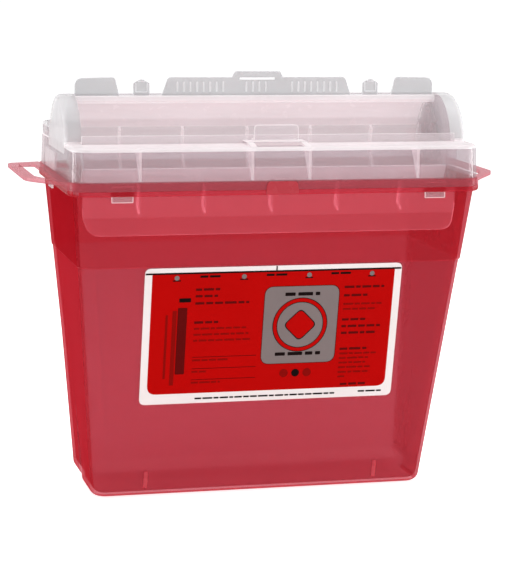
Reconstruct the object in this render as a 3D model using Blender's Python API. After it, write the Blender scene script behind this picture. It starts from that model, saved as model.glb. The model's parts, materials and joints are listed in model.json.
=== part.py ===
"""Wall-type sharps container: translucent red tub, clear lid housing and a tip-to-drop tray.

Metres, +Z up, +X to the right, front face towards -Y. The origin is at the middle of the
box around the whole object, at the height of the surface that the tub stands on.
"""

import math

import bmesh
import bpy
from mathutils import Vector

# Overall size
RIM_WIDTH = 0.2667
RIM_DEPTH = 0.1340
CLEARANCE = 0.0003

# Tub
TUB_WALL = 0.0018
TUB_FLOOR = 0.0022
BASE_HALF_WIDTH = 0.1110
BASE_REAR_HALF_WIDTH = 0.1110
TOP_HALF_WIDTH = 0.1288
BASE_FRONT_Y = -0.0232
TOP_FRONT_Y = -0.0625
BASE_REAR_Y = 0.0420
TOP_REAR_Y = 0.0630
TUB_CORNER = 0.0100
TUB_REAR_CORNER = 0.0050
RIM_CORNER = 0.0140
RIM_REAR_CORNER = 0.0085
BASE_EDGE = 0.0050
STEP_Z = 0.1545
STEP_OUT = 0.0007
RIM_BOTTOM_Z = 0.2005
RIM_TOP_Z = 0.2090
RIM_WALL = 0.0013
CHANNEL_FLOOR = 0.0030
BASE_STEP_Y = 0.0150
BASE_STEP_Z = 0.0070
FRONT_RIB_X = 0.0770
FRONT_RIB_LOW_Z = 0.0060
FRONT_RIB_HIGH_Z = 0.0175
FRONT_RIB_PROUD = 0.0006
FRONT_RIB_HALF_WIDTH = 0.0013
COLUMN_FRONT_Y = 0.0110
COLUMN_TOP_Z = 0.1250
COLUMN_HALF_WIDTH = 0.1130

# Carrying loops at the rim
LOOP_HALF_SPAN = 0.1545
LOOP_TOP_Z = 0.2087
LOOP_THICKNESS = 0.0026
LOOP_FRONT_Y = -0.0230
LOOP_REAR_Y = 0.0570
LOOP_ROOT_FRONT_Y = -0.0560
LOOP_ROOT_REAR_Y = 0.0640
LOOP_BAR = 0.0070

# Lid housing
LID_WALL = 0.0016
LID_CORNER = 0.0125
LID_REAR_CORNER = 0.0070
SKIRT_BOTTOM_Z = 0.2040
SHELF_Z = 0.2300
SHELF_REAR_Y = -0.0400
SHELF_LIP_Z = 0.2353
BRIDGE_Z = 0.2322
BRIDGE_HALF_WIDTH = 0.0195
BRIDGE_FRONT_Y = -0.0530
SLOT_FRONT_Y = -0.0615
SLOT_HALF_WIDTH = 0.0150
GUSSET_DEPTH = 0.0140
REAR_BOX_Z = 0.2365
REAR_BOX_FRONT_Y = 0.0230
CHEEK_INNER_X = 0.1205
CHEEK_OUTER_X = 0.1318
CLIP_X = 0.1005
CLIP_WIDTH = 0.0134
CLIP_BOTTOM_Z = 0.1968
CLIP_THICKNESS = 0.0014
GUSSET_STATIONS = (0.0184, 0.0893)
GUSSET_HALF_WIDTH = 0.0008
SIDE_CLIP_Y = 0.0200

# Tipping tray
AXIS_Y = -0.0020
AXIS_Z = 0.2250
DOME_RADIUS = 0.0335
TRAY_RADIUS = 0.0312
TRAY_WALL = 0.0015
TRAY_HALF_LENGTH = 0.1195
TRAY_END_WALL = 0.0016
TRAY_LIP_ANGLE = -158.0
TRAY_TOP_ANGLE = 82.5
AXLE_RADIUS = 0.0038
BORE_RADIUS = 0.0041
RIB_STATIONS = (-0.0855, -0.0435, 0.0, 0.0435, 0.0855)
RIB_HALF_WIDTH = 0.0008
TRAY_RIB_DEPTH = 0.0030
BEAD_DEPTH = 0.0042
BEAD_BOTTOM_Z = 0.2534
BEAD_TOP_Z = 0.2572

# Pull flap
FLAP_Y = -0.0002
FLAP_THICKNESS = 0.0015
FLAP_ROOT_Z = 0.2545
FLAP_TOP_Z = 0.2688
PULL_TAB_TOP_Z = 0.2726
PULL_TAB_HALF_WIDTH = 0.0151
PANEL_HALF_WIDTH = 0.0590
POST_X = 0.0762
POST_HALF_WIDTH = 0.0054
WING_INNER_X = 0.0932
WING_OUTER_X = 0.1192
COMB_ROOT_Z = 0.2575
HOOD_EDGE_Y = FLAP_Y + FLAP_THICKNESS + 0.0006

# Front baffle and finger latch
BAFFLE_HALF_WIDTH = 0.1215
BAFFLE_BOTTOM_HALF_WIDTH = 0.1180
BAFFLE_TOP_Z = 0.2275
BAFFLE_FOLD_Z = 0.1845
BAFFLE_BOTTOM_Z = 0.1738
BAFFLE_TOP_Y = -0.0442
BAFFLE_FOLD_Y = -0.0425
BAFFLE_BOTTOM_Y = -0.0465
BAFFLE_THICKNESS = 0.0014
LATCH_HALF_WIDTH = 0.0144
LATCH_FRONT_Y = -0.0500
LATCH_WEB_REAR_Y = -0.0425
LATCH_WALL = 0.0013
LATCH_TOP_Z = 0.2425

# Front label
LABEL_HALF_WIDTH = 0.0838
LABEL_TOP_Z = 0.1540
LABEL_BOTTOM_Z = 0.0634
LABEL_THICKNESS = 0.0004
LABEL_CORNER = 0.0050

RIM_HALF_X = RIM_WIDTH / 2
RIM_HALF_Y = RIM_DEPTH / 2


def clear_scene():
    for item in list(bpy.data.objects):
        bpy.data.objects.remove(item, do_unlink=True)


def material(name, color, roughness, alpha=1.0):
    mat = bpy.data.materials.new(name)
    mat.use_nodes = True
    shader = mat.node_tree.nodes["Principled BSDF"]
    shader.inputs["Base Color"].default_value = (*color, 1.0)
    shader.inputs["Roughness"].default_value = roughness
    shader.inputs["Metallic"].default_value = 0.0
    shader.inputs["Alpha"].default_value = alpha
    mat.diffuse_color = (*color, alpha)
    return mat


def add_object(name, mesh_builder, mat):
    """Turns a filled bmesh into a named object with outward faces."""
    mesh = bpy.data.meshes.new(name)
    bmesh.ops.recalc_face_normals(mesh_builder, faces=mesh_builder.faces)
    mesh_builder.to_mesh(mesh)
    mesh_builder.free()
    mesh.materials.append(mat)
    piece = bpy.data.objects.new(name, mesh)
    bpy.context.collection.objects.link(piece)
    return piece


def mix(low, high, t):
    return low + (high - low) * t


def rounded_outline(front_half, rear_half, front_y, rear_y, front_radius, rear_radius, steps=4):
    """Counter-clockwise outline of a four-sided plan with round corners."""
    corners = (
        (-front_half, front_y, front_radius, 180.0),
        (front_half, front_y, front_radius, 270.0),
        (rear_half, rear_y, rear_radius, 0.0),
        (-rear_half, rear_y, rear_radius, 90.0),
    )
    points = []
    for x, y, radius, start in corners:
        centre_x = x - math.copysign(radius, x)
        centre_y = y + radius if y < (front_y + rear_y) / 2 else y - radius
        for step in range(steps + 1):
            angle = math.radians(start + 90.0 * step / steps)
            points.append((centre_x + radius * math.cos(angle), centre_y + radius * math.sin(angle)))
    return points


def loft(sections):
    """Closes a stack of (outline, z) rings of equal length into one solid."""
    bm = bmesh.new()
    rings = [[bm.verts.new((x, y, z)) for x, y in outline] for outline, z in sections]
    for lower, upper in zip(rings, rings[1:]):
        count = len(lower)
        for i in range(count):
            bm.faces.new((lower[i], lower[(i + 1) % count], upper[(i + 1) % count], upper[i]))
    bm.faces.new(list(reversed(rings[0])))
    bm.faces.new(rings[-1])
    return bm


def add_box(bm, low, high):
    corners = []
    for z in (low[2], high[2]):
        for y in (low[1], high[1]):
            for x in (low[0], high[0]):
                corners.append(bm.verts.new((x, y, z)))
    for face in ((0, 2, 3, 1), (4, 5, 7, 6), (0, 1, 5, 4), (2, 6, 7, 3), (0, 4, 6, 2), (1, 3, 7, 5)):
        bm.faces.new([corners[i] for i in face])


def box(low, high):
    bm = bmesh.new()
    add_box(bm, low, high)
    return bm


def extrude_outline(bm, outline, axis, start, end):
    """Adds a prism: a flat outline swept along X, Y or Z between two values."""
    def place(point, value):
        u, v = point
        return {"X": (value, u, v), "Y": (u, value, v), "Z": (u, v, value)}[axis]

    near = [bm.verts.new(place(point, start)) for point in outline]
    far = [bm.verts.new(place(point, end)) for point in outline]
    count = len(outline)
    faces = [bm.faces.new(near), bm.faces.new(list(reversed(far)))]
    for i in range(count):
        faces.append(bm.faces.new((near[i], far[i], far[(i + 1) % count], near[(i + 1) % count])))
    bmesh.ops.recalc_face_normals(bm, faces=faces)


def prism(outline, axis, start, end):
    bm = bmesh.new()
    extrude_outline(bm, outline, axis, start, end)
    return bm


def round_corners(points, radii, steps=3):
    """Replaces each corner of a closed outline with an arc-like curve of the given reach."""
    result = []
    count = len(points)
    for i, (point, reach) in enumerate(zip(points, radii)):
        corner = Vector(point)
        if reach <= 0.0:
            result.append(tuple(corner))
            continue
        before = Vector(points[i - 1])
        after = Vector(points[(i + 1) % count])
        start = corner + (before - corner).normalized() * reach
        end = corner + (after - corner).normalized() * reach
        for step in range(steps + 1):
            t = step / steps
            curve = start * (1 - t) ** 2 + corner * 2 * t * (1 - t) + end * t ** 2
            result.append(tuple(curve))
    return result


def combine(target, tool_bm, operation):
    """Joins, cuts or keeps the common part of a solid and a tool solid."""
    mesh = bpy.data.meshes.new("tool")
    bmesh.ops.recalc_face_normals(tool_bm, faces=tool_bm.faces)
    tool_bm.to_mesh(mesh)
    tool_bm.free()
    tool = bpy.data.objects.new("tool", mesh)
    bpy.context.collection.objects.link(tool)
    modifier = target.modifiers.new(operation.lower(), "BOOLEAN")
    modifier.operation = operation
    modifier.solver = "EXACT"
    modifier.object = tool
    graph = bpy.context.evaluated_depsgraph_get()
    result = bpy.data.meshes.new_from_object(target.evaluated_get(graph))
    target.modifiers.clear()
    target.data = result
    bpy.data.objects.remove(tool, do_unlink=True)


def finish_mesh(piece, smooth_angle):
    """Cleans coincident points left by the cuts and sets smooth shading."""
    bm = bmesh.new()
    bm.from_mesh(piece.data)
    bmesh.ops.remove_doubles(bm, verts=bm.verts, dist=0.000002)
    bmesh.ops.dissolve_degenerate(bm, edges=bm.edges, dist=0.000002)
    bm.to_mesh(piece.data)
    bm.free()
    piece.data.shade_smooth()
    piece.data.set_sharp_from_angle(angle=math.radians(smooth_angle))


# ---------------------------------------------------------------- tub

def tub_outline(z, inset):
    """Plan of the tapering tub at a height, moved inwards by inset."""
    t = min(z / RIM_BOTTOM_Z, 1.0)
    out = STEP_OUT if z > STEP_Z else 0.0
    return rounded_outline(
        mix(BASE_HALF_WIDTH, TOP_HALF_WIDTH, t) + out - inset,
        mix(BASE_REAR_HALF_WIDTH, TOP_HALF_WIDTH, t) + out - inset,
        mix(BASE_FRONT_Y, TOP_FRONT_Y, t) - out + inset,
        mix(BASE_REAR_Y, TOP_REAR_Y, t) + inset * -1,
        max(TUB_CORNER - inset, 0.0015),
        max(TUB_REAR_CORNER - inset, 0.0010),
    )


def rim_outline(inset):
    return rounded_outline(
        RIM_HALF_X - inset,
        RIM_HALF_X - inset,
        -RIM_HALF_Y + inset,
        RIM_HALF_Y - inset,
        RIM_CORNER - inset,
        RIM_REAR_CORNER - inset,
    )


def wall_stack(inset, base_z, top_z):
    """Rings of the tapering wall, with a round lower edge and the small step part way up."""
    rings = []
    for angle in (0.0, 30.0, 60.0, 90.0):
        turn = math.radians(angle)
        pulled_in = BASE_EDGE * (1 - math.sin(turn))
        height = base_z + BASE_EDGE * (1 - math.cos(turn))
        rings.append((tub_outline(height, inset + pulled_in), height))
    rings.append((tub_outline(STEP_Z - 0.0002, inset), STEP_Z - 0.0002))
    rings.append((tub_outline(STEP_Z + 0.0008, inset), STEP_Z + 0.0008))
    rings.append((tub_outline(top_z, inset), top_z))
    return rings


def column_half_width(z):
    side = mix(BASE_REAR_HALF_WIDTH, TOP_HALF_WIDTH, COLUMN_TOP_Z / RIM_BOTTOM_Z) - 0.0004
    return mix(COLUMN_HALF_WIDTH, side, (z - BASE_STEP_Z) / (COLUMN_TOP_Z - BASE_STEP_Z))


def column_stack(inset, base_z):
    """Rings of the fuller rear part that stands out from the lower side walls."""
    rings = []
    for z, pulled_in in ((base_z, 0.0025), (base_z + 0.0008, 0.0008), (base_z + 0.0028, 0.0), (COLUMN_TOP_Z, 0.0)):
        rear = mix(BASE_REAR_Y, TOP_REAR_Y, z / RIM_BOTTOM_Z)
        half = column_half_width(z) - inset - pulled_in
        front = COLUMN_FRONT_Y + inset
        outline = rounded_outline(half, half, front, rear - inset - 0.0002, 0.0035, 0.0045 - inset)
        rings.append((outline, z))
    return rings


def loop_outline(side):
    points = (
        (RIM_HALF_X - 0.0006, LOOP_ROOT_FRONT_Y),
        (LOOP_HALF_SPAN, LOOP_FRONT_Y),
        (LOOP_HALF_SPAN, LOOP_REAR_Y),
        (RIM_HALF_X - 0.0006, LOOP_ROOT_REAR_Y),
    )
    outline = round_corners(points, (0.0, 0.006, 0.005, 0.0))
    return [(side * x, y) for x, y in outline]


def loop_hole_outline(side):
    points = (
        (RIM_HALF_X + 0.0035, LOOP_ROOT_FRONT_Y + 0.0130),
        (LOOP_HALF_SPAN - LOOP_BAR, LOOP_FRONT_Y + 0.0045),
        (LOOP_HALF_SPAN - LOOP_BAR, LOOP_REAR_Y - 0.0030),
        (RIM_HALF_X + 0.0035, LOOP_ROOT_REAR_Y - 0.0100),
    )
    outline = round_corners(points, (0.004, 0.003, 0.003, 0.003), steps=2)
    return [(side * x, y) for x, y in outline]


def build_tub(mat):
    outer = wall_stack(0.0, 0.0, RIM_BOTTOM_Z)
    outer.append((rim_outline(0.0008), RIM_BOTTOM_Z))
    outer.append((rim_outline(0.0), RIM_BOTTOM_Z + 0.0010))
    outer.append((rim_outline(0.0), RIM_TOP_Z - 0.0006))
    outer.append((rim_outline(0.0005), RIM_TOP_Z))
    piece = add_object("tub", loft(outer), mat)
    combine(piece, loft(column_stack(0.0, BASE_STEP_Z)), "UNION")
    combine(piece, box((-0.15, BASE_STEP_Y, -0.01), (0.15, 0.08, BASE_STEP_Z)), "DIFFERENCE")
    for side in (-1, 1):
        plate = prism(loop_outline(side), "Z", LOOP_TOP_Z - LOOP_THICKNESS, LOOP_TOP_Z)
        combine(piece, plate, "UNION")
        hole = prism(loop_hole_outline(side), "Z", LOOP_TOP_Z - 0.02, LOOP_TOP_Z + 0.02)
        combine(piece, hole, "DIFFERENCE")
    cavity = add_object("cavity", loft(wall_stack(TUB_WALL, TUB_FLOOR, RIM_TOP_Z + 0.004)), mat)
    combine(cavity, loft(column_stack(TUB_WALL, BASE_STEP_Z + TUB_FLOOR)), "UNION")
    step_tool = box((-0.15, BASE_STEP_Y - TUB_WALL, -0.01), (0.15, 0.08, BASE_STEP_Z + TUB_FLOOR))
    combine(cavity, step_tool, "DIFFERENCE")
    cavity_bm = bmesh.new()
    cavity_bm.from_mesh(cavity.data)
    bpy.data.objects.remove(cavity, do_unlink=True)
    combine(piece, cavity_bm, "DIFFERENCE")
    cut_rim_channel(piece)
    for low, high in clip_slots():
        combine(piece, box(low, high), "DIFFERENCE")
    for x in (-FRONT_RIB_X, FRONT_RIB_X):
        combine(piece, front_rib(x), "UNION")
    finish_mesh(piece, 35.0)
    return piece


def cut_rim_channel(piece):
    """Opens the groove in the rim that takes the skirt of the lid."""
    floor_z = RIM_BOTTOM_Z + CHANNEL_FLOOR
    ring = loft([(rim_outline(RIM_WALL), floor_z), (rim_outline(RIM_WALL), RIM_TOP_Z + 0.005)])
    core = loft([(tub_outline(floor_z, 0.0), floor_z - 0.001), (tub_outline(floor_z, 0.0), RIM_TOP_Z + 0.006)])
    groove = add_object("groove", ring, piece.data.materials[0])
    combine(groove, core, "DIFFERENCE")
    groove_bm = bmesh.new()
    groove_bm.from_mesh(groove.data)
    bpy.data.objects.remove(groove, do_unlink=True)
    combine(piece, groove_bm, "DIFFERENCE")


def clip_slots():
    """Openings in the floor of the rim channel where the lid's clips reach through."""
    half = CLIP_WIDTH / 2 + 0.0005
    slots = []
    for side in (-1, 1):
        x = side * CLIP_X
        for y_low, y_high in ((-RIM_HALF_Y + RIM_WALL, TOP_FRONT_Y - 0.0008), (TOP_REAR_Y + 0.0006, RIM_HALF_Y - RIM_WALL)):
            slots.append(((x - half, y_low, RIM_BOTTOM_Z - 0.001), (x + half, y_high, RIM_BOTTOM_Z + 0.004)))
        x_low, x_high = sorted((side * 0.1299, side * (RIM_HALF_X - RIM_WALL)))
        y = SIDE_CLIP_Y
        slots.append(((x_low, y - half, RIM_BOTTOM_Z - 0.001), (x_high, y + half, RIM_BOTTOM_Z + 0.004)))
    return slots


def front_rib(x):
    """Low stiffening rib on the outside of the front wall, down to the base."""
    low_y = mix(BASE_FRONT_Y, TOP_FRONT_Y, FRONT_RIB_LOW_Z / RIM_BOTTOM_Z)
    high_y = mix(BASE_FRONT_Y, TOP_FRONT_Y, FRONT_RIB_HIGH_Z / RIM_BOTTOM_Z)
    profile = (
        (low_y - FRONT_RIB_PROUD, FRONT_RIB_LOW_Z),
        (high_y - FRONT_RIB_PROUD, FRONT_RIB_HIGH_Z),
        (high_y + TUB_WALL / 2, FRONT_RIB_HIGH_Z),
        (low_y + TUB_WALL / 2, FRONT_RIB_LOW_Z),
    )
    return prism(profile, "X", x - FRONT_RIB_HALF_WIDTH, x + FRONT_RIB_HALF_WIDTH)


# ---------------------------------------------------------------- lid housing

def lid_outline(z, inset):
    """Plan of the lid's skirt: it sits in the rim channel and leans in slightly upwards."""
    lean = 0.0008 * (z - SKIRT_BOTTOM_Z) / (SHELF_Z - SKIRT_BOTTOM_Z)
    reach = RIM_WALL + CLEARANCE + lean + inset
    return rounded_outline(
        RIM_HALF_X - reach,
        RIM_HALF_X - reach,
        -RIM_HALF_Y + reach,
        RIM_HALF_Y - reach,
        LID_CORNER - inset,
        LID_REAR_CORNER - inset,
    )


def rear_box_outline(inset):
    """Plan of the raised part behind the hood: square at the hood, round at the rear corners."""
    half = RIM_HALF_X - RIM_WALL - CLEARANCE - 0.0010 - inset
    rear = RIM_HALF_Y - RIM_WALL - CLEARANCE - 0.0010 - inset
    points = ((-half, REAR_BOX_FRONT_Y), (half, REAR_BOX_FRONT_Y), (half, rear), (-half, rear))
    reach = LID_REAR_CORNER + 0.0015 - inset
    return round_corners(points, (0.0, 0.0, reach, reach), steps=4)


def arc_points(radius, start, end, steps):
    """Points (y, z) on a circle about the tray's axis; 0 degrees is the rear, 90 the top."""
    points = []
    for step in range(steps + 1):
        angle = math.radians(mix(start, end, step / steps))
        points.append((AXIS_Y + radius * math.cos(angle), AXIS_Z + radius * math.sin(angle)))
    return points


def build_lid_housing(mat):
    top = [
        (lid_outline(SKIRT_BOTTOM_Z, 0.0), SKIRT_BOTTOM_Z),
        (lid_outline(SHELF_Z - 0.0022, 0.0), SHELF_Z - 0.0022),
        (lid_outline(SHELF_Z - 0.0008, 0.0007), SHELF_Z - 0.0008),
        (lid_outline(SHELF_Z, 0.0022), SHELF_Z),
    ]
    piece = add_object("lid_housing", loft(top), mat)
    dome = arc_points(DOME_RADIUS, -10.0, 190.0, 28)
    combine(piece, prism(dome, "X", -CHEEK_OUTER_X + 0.0012, CHEEK_OUTER_X - 0.0012), "UNION")
    rear_box = [(rear_box_outline(0.0), SHELF_Z - 0.004)]
    for pulled_in, z in ((0.0, REAR_BOX_Z - 0.0020), (0.0006, REAR_BOX_Z - 0.0006), (0.0020, REAR_BOX_Z)):
        rear_box.append((rear_box_outline(pulled_in), z))
    combine(piece, loft(rear_box), "UNION")
    hollow_lid(piece)
    add_cheeks_and_lip(piece)
    for side in (-1, 1):
        bore = prism(
            [
                (AXIS_Y + BORE_RADIUS * math.cos(a * math.pi / 12), AXIS_Z + BORE_RADIUS * math.sin(a * math.pi / 12))
                for a in range(24)
            ],
            "X",
            *sorted((side * (CHEEK_INNER_X - 0.002), side * (CHEEK_INNER_X + 0.0035))),
        )
        combine(piece, bore, "DIFFERENCE")
    add_lid_details(piece)
    finish_mesh(piece, 32.0)
    return piece


def hollow_lid(piece):
    """Takes out the inside of the skirt, the rear box and the hood."""
    inner = [
        (lid_outline(SKIRT_BOTTOM_Z, LID_WALL), SKIRT_BOTTOM_Z - 0.004),
        (lid_outline(SHELF_Z, LID_WALL), SHELF_Z - LID_WALL),
    ]
    combine(piece, loft(inner), "DIFFERENCE")
    hollow_outline = rear_box_outline(LID_WALL + 0.0010)
    rear_hollow = [(hollow_outline, SHELF_Z - 0.010), (hollow_outline, REAR_BOX_Z - LID_WALL)]
    combine(piece, loft(rear_hollow), "DIFFERENCE")
    dome_hollow = arc_points(DOME_RADIUS - 0.0015, -40.0, 220.0, 36)
    combine(piece, prism(dome_hollow, "X", -CHEEK_INNER_X, CHEEK_INNER_X), "DIFFERENCE")
    mouth = [
        (SHELF_REAR_Y + LID_WALL, SHELF_Z - 0.012),
        (SHELF_REAR_Y + LID_WALL, AXIS_Z + 0.060),
        (HOOD_EDGE_Y, AXIS_Z + 0.060),
        (HOOD_EDGE_Y, SHELF_Z - 0.012),
    ]
    combine(piece, prism(mouth, "X", -CHEEK_INNER_X, CHEEK_INNER_X), "DIFFERENCE")


def add_cheeks_and_lip(piece):
    """Adds the inner walls that carry the tray's axle, and the upright lip behind the shelf."""
    for side in (-1, 1):
        wall = arc_points(DOME_RADIUS - 0.0004, -18.0, 198.0, 28)
        x_low, x_high = sorted((side * CHEEK_INNER_X, side * (CHEEK_INNER_X + 0.0017)))
        combine(piece, prism(wall, "X", x_low, x_high), "UNION")
    lip = box(
        (-CHEEK_INNER_X - 0.001, SHELF_REAR_Y, SHELF_Z - 0.0010),
        (CHEEK_INNER_X + 0.001, SHELF_REAR_Y + LID_WALL, SHELF_LIP_Z),
    )
    combine(piece, lip, "UNION")
    bridge = box(
        (-BRIDGE_HALF_WIDTH, BRIDGE_FRONT_Y, SHELF_Z - 0.0010),
        (BRIDGE_HALF_WIDTH, SHELF_REAR_Y + LID_WALL / 2, BRIDGE_Z),
    )
    combine(piece, bridge, "UNION")
    under_bridge = box(
        (-BRIDGE_HALF_WIDTH + LID_WALL, BRIDGE_FRONT_Y + LID_WALL, SHELF_Z - 0.0030),
        (BRIDGE_HALF_WIDTH - LID_WALL, SHELF_REAR_Y - 0.0001, BRIDGE_Z - LID_WALL),
    )
    combine(piece, under_bridge, "DIFFERENCE")
    slot = box(
        (-SLOT_HALF_WIDTH, SLOT_FRONT_Y, SHELF_Z - 0.0040),
        (SLOT_HALF_WIDTH, BRIDGE_FRONT_Y - 0.0010, SHELF_Z + 0.0020),
    )
    combine(piece, slot, "DIFFERENCE")


def add_lid_details(piece):
    """Adds the clips that hook under the rim, and the gussets that hold up the shelf."""
    half = CLIP_WIDTH / 2
    outer = -RIM_HALF_Y + RIM_WALL + CLEARANCE
    profile = (
        (outer, SKIRT_BOTTOM_Z + 0.003),
        (outer, CLIP_BOTTOM_Z),
        (outer + CLIP_THICKNESS, CLIP_BOTTOM_Z),
        (outer + CLIP_THICKNESS, SKIRT_BOTTOM_Z + 0.003),
    )
    rear_profile = tuple((-y, z) for y, z in profile)
    for side in (-1, 1):
        for outline in (profile, rear_profile):
            clip = prism(outline, "X", side * CLIP_X - half, side * CLIP_X + half)
            combine(piece, clip, "UNION")
        x_out = RIM_HALF_X - RIM_WALL - CLEARANCE
        side_profile = (
            (side * x_out, SKIRT_BOTTOM_Z + 0.003),
            (side * x_out, CLIP_BOTTOM_Z),
            (side * (x_out - CLIP_THICKNESS), CLIP_BOTTOM_Z),
            (side * (x_out - CLIP_THICKNESS), SKIRT_BOTTOM_Z + 0.003),
        )
        combine(piece, prism(side_profile, "Y", SIDE_CLIP_Y - half, SIDE_CLIP_Y + half), "UNION")
        for x in GUSSET_STATIONS:
            front = -RIM_HALF_Y + RIM_WALL + CLEARANCE + LID_WALL / 2
            gusset = (
                (front, RIM_TOP_Z + 0.0005),
                (front + 0.0012, RIM_TOP_Z + 0.0005),
                (front + GUSSET_DEPTH, SHELF_Z - LID_WALL / 2),
                (front, SHELF_Z - LID_WALL / 2),
            )
            web = prism(gusset, "X", side * x - GUSSET_HALF_WIDTH, side * x + GUSSET_HALF_WIDTH)
            combine(piece, web, "UNION")


# ---------------------------------------------------------------- moving pieces

def build_drop_tray(mat):
    shell = arc_points(TRAY_RADIUS, TRAY_LIP_ANGLE, TRAY_TOP_ANGLE, 34)
    shell += reversed(arc_points(TRAY_RADIUS - TRAY_WALL, TRAY_LIP_ANGLE, TRAY_TOP_ANGLE, 34))
    piece = add_object("drop_tray", prism(shell, "X", -TRAY_HALF_LENGTH, TRAY_HALF_LENGTH), mat)
    end_plate = arc_points(TRAY_RADIUS - TRAY_WALL / 2, TRAY_LIP_ANGLE, TRAY_TOP_ANGLE, 34)
    for side in (-1, 1):
        x_low, x_high = sorted((side * (TRAY_HALF_LENGTH - TRAY_END_WALL), side * TRAY_HALF_LENGTH))
        combine(piece, prism(end_plate, "X", x_low, x_high), "UNION")
        axle = [
            (AXIS_Y + AXLE_RADIUS * math.cos(a * math.pi / 12), AXIS_Z + AXLE_RADIUS * math.sin(a * math.pi / 12))
            for a in range(24)
        ]
        x_low, x_high = sorted((side * (TRAY_HALF_LENGTH - 0.001), side * (CHEEK_INNER_X + 0.0030)))
        combine(piece, prism(axle, "X", x_low, x_high), "UNION")
    for x in RIB_STATIONS:
        rib = arc_points(TRAY_RADIUS - TRAY_WALL / 2, -150.0, 20.0, 22)
        rib += reversed(arc_points(TRAY_RADIUS - TRAY_WALL - TRAY_RIB_DEPTH, -146.0, 16.0, 22))
        combine(piece, prism(rib, "X", x - RIB_HALF_WIDTH, x + RIB_HALF_WIDTH), "UNION")
    combine(piece, tray_bead_foot(), "UNION")
    combine(piece, tray_bead(), "UNION")
    finish_mesh(piece, 32.0)
    return piece


def tray_bead():
    """Upright band along the tray's upper edge, in front of the flap."""
    front_y = FLAP_Y - BEAD_DEPTH
    outline = (
        (front_y, BEAD_BOTTOM_Z),
        (FLAP_Y - CLEARANCE, BEAD_BOTTOM_Z),
        (FLAP_Y - CLEARANCE, BEAD_TOP_Z - 0.0006),
        (FLAP_Y - 0.0014, BEAD_TOP_Z),
        (front_y + 0.0008, BEAD_TOP_Z),
        (front_y, BEAD_TOP_Z - 0.0008),
    )
    return prism(outline, "X", -TRAY_HALF_LENGTH, TRAY_HALF_LENGTH)


def tray_bead_foot():
    """Ledge under the flap's root that ties the bead to the tray's shell."""
    low_z = BEAD_BOTTOM_Z - 0.0010
    high_z = FLAP_ROOT_Z - CLEARANCE
    foot = (
        (FLAP_Y - 0.0030, high_z - 0.0002),
        (FLAP_Y - 0.0030, low_z),
        (FLAP_Y + 0.0060, low_z),
        (FLAP_Y + 0.0060, high_z),
        (FLAP_Y - 0.0010, high_z),
    )
    return prism(foot, "X", -TRAY_HALF_LENGTH + 0.0002, TRAY_HALF_LENGTH - 0.0002)


def flap_outline():
    """Comb of the pull flap, seen from the front: two wings, two arrow posts, panel and tab."""
    post_shoulder_z = FLAP_TOP_Z - 0.0038
    half = (
        (PULL_TAB_HALF_WIDTH, PULL_TAB_TOP_Z),
        (PULL_TAB_HALF_WIDTH + 0.0019, FLAP_TOP_Z),
        (PANEL_HALF_WIDTH, FLAP_TOP_Z),
        (PANEL_HALF_WIDTH + 0.0040, COMB_ROOT_Z),
        (POST_X - POST_HALF_WIDTH, COMB_ROOT_Z),
        (POST_X - POST_HALF_WIDTH, post_shoulder_z),
        (POST_X, FLAP_TOP_Z - 0.0008),
        (POST_X + POST_HALF_WIDTH, post_shoulder_z),
        (POST_X + POST_HALF_WIDTH, COMB_ROOT_Z),
        (WING_INNER_X - 0.0027, COMB_ROOT_Z),
        (WING_INNER_X, FLAP_TOP_Z),
        (WING_OUTER_X, FLAP_TOP_Z - 0.0005),
        (WING_OUTER_X, FLAP_ROOT_Z),
    )
    reach = (0.0015, 0.0, 0.0020, 0.0, 0.0, 0.0, 0.0020, 0.0, 0.0, 0.0, 0.0020, 0.0050, 0.0)
    left = [(-x, z) for x, z in reversed(half)]
    return round_corners(list(half) + left, list(reach) + list(reversed(reach)))


def build_pull_flap(mat):
    piece = add_object("pull_flap", prism(flap_outline(), "Y", FLAP_Y, FLAP_Y + FLAP_THICKNESS), mat)
    slot = box((-0.0118, FLAP_Y - 0.01, 0.2670), (0.0118, FLAP_Y + 0.01, 0.2684))
    combine(piece, slot, "DIFFERENCE")
    finish_mesh(piece, 32.0)
    return piece


# ---------------------------------------------------------------- fixed inner baffle and latch

def build_front_baffle(mat):
    """Curtain under the shelf that keeps fingers away from the contents."""
    outline = round_corners(
        (
            (-BAFFLE_HALF_WIDTH, BAFFLE_TOP_Z),
            (-BAFFLE_HALF_WIDTH, BAFFLE_FOLD_Z + 0.002),
            (-BAFFLE_BOTTOM_HALF_WIDTH, BAFFLE_BOTTOM_Z),
            (BAFFLE_BOTTOM_HALF_WIDTH, BAFFLE_BOTTOM_Z),
            (BAFFLE_HALF_WIDTH, BAFFLE_FOLD_Z + 0.002),
            (BAFFLE_HALF_WIDTH, BAFFLE_TOP_Z),
        ),
        (0.0, 0.003, 0.006, 0.006, 0.003, 0.0),
    )
    piece = add_object("front_baffle", prism(outline, "Y", -0.070, 0.0), mat)
    half = BAFFLE_THICKNESS / 2
    stations = (
        (BAFFLE_TOP_Y, BAFFLE_TOP_Z + 0.001),
        (BAFFLE_FOLD_Y, BAFFLE_FOLD_Z),
        (BAFFLE_BOTTOM_Y, BAFFLE_BOTTOM_Z - 0.001),
    )
    side = [(y - half, z) for y, z in stations] + [(y + half, z) for y, z in reversed(stations)]
    combine(piece, prism(side, "X", -0.13, 0.13), "INTERSECT")
    for x in RIB_STATIONS:
        gusset = (
            (BAFFLE_FOLD_Y, 0.2080),
            (BAFFLE_FOLD_Y + 0.0035, 0.2050),
            (BAFFLE_FOLD_Y + 0.0080, BAFFLE_FOLD_Z + 0.0060),
            (BAFFLE_FOLD_Y, BAFFLE_FOLD_Z + 0.0020),
        )
        combine(piece, prism(gusset, "X", x - RIB_HALF_WIDTH, x + RIB_HALF_WIDTH), "UNION")
    finish_mesh(piece, 32.0)
    return piece


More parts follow.
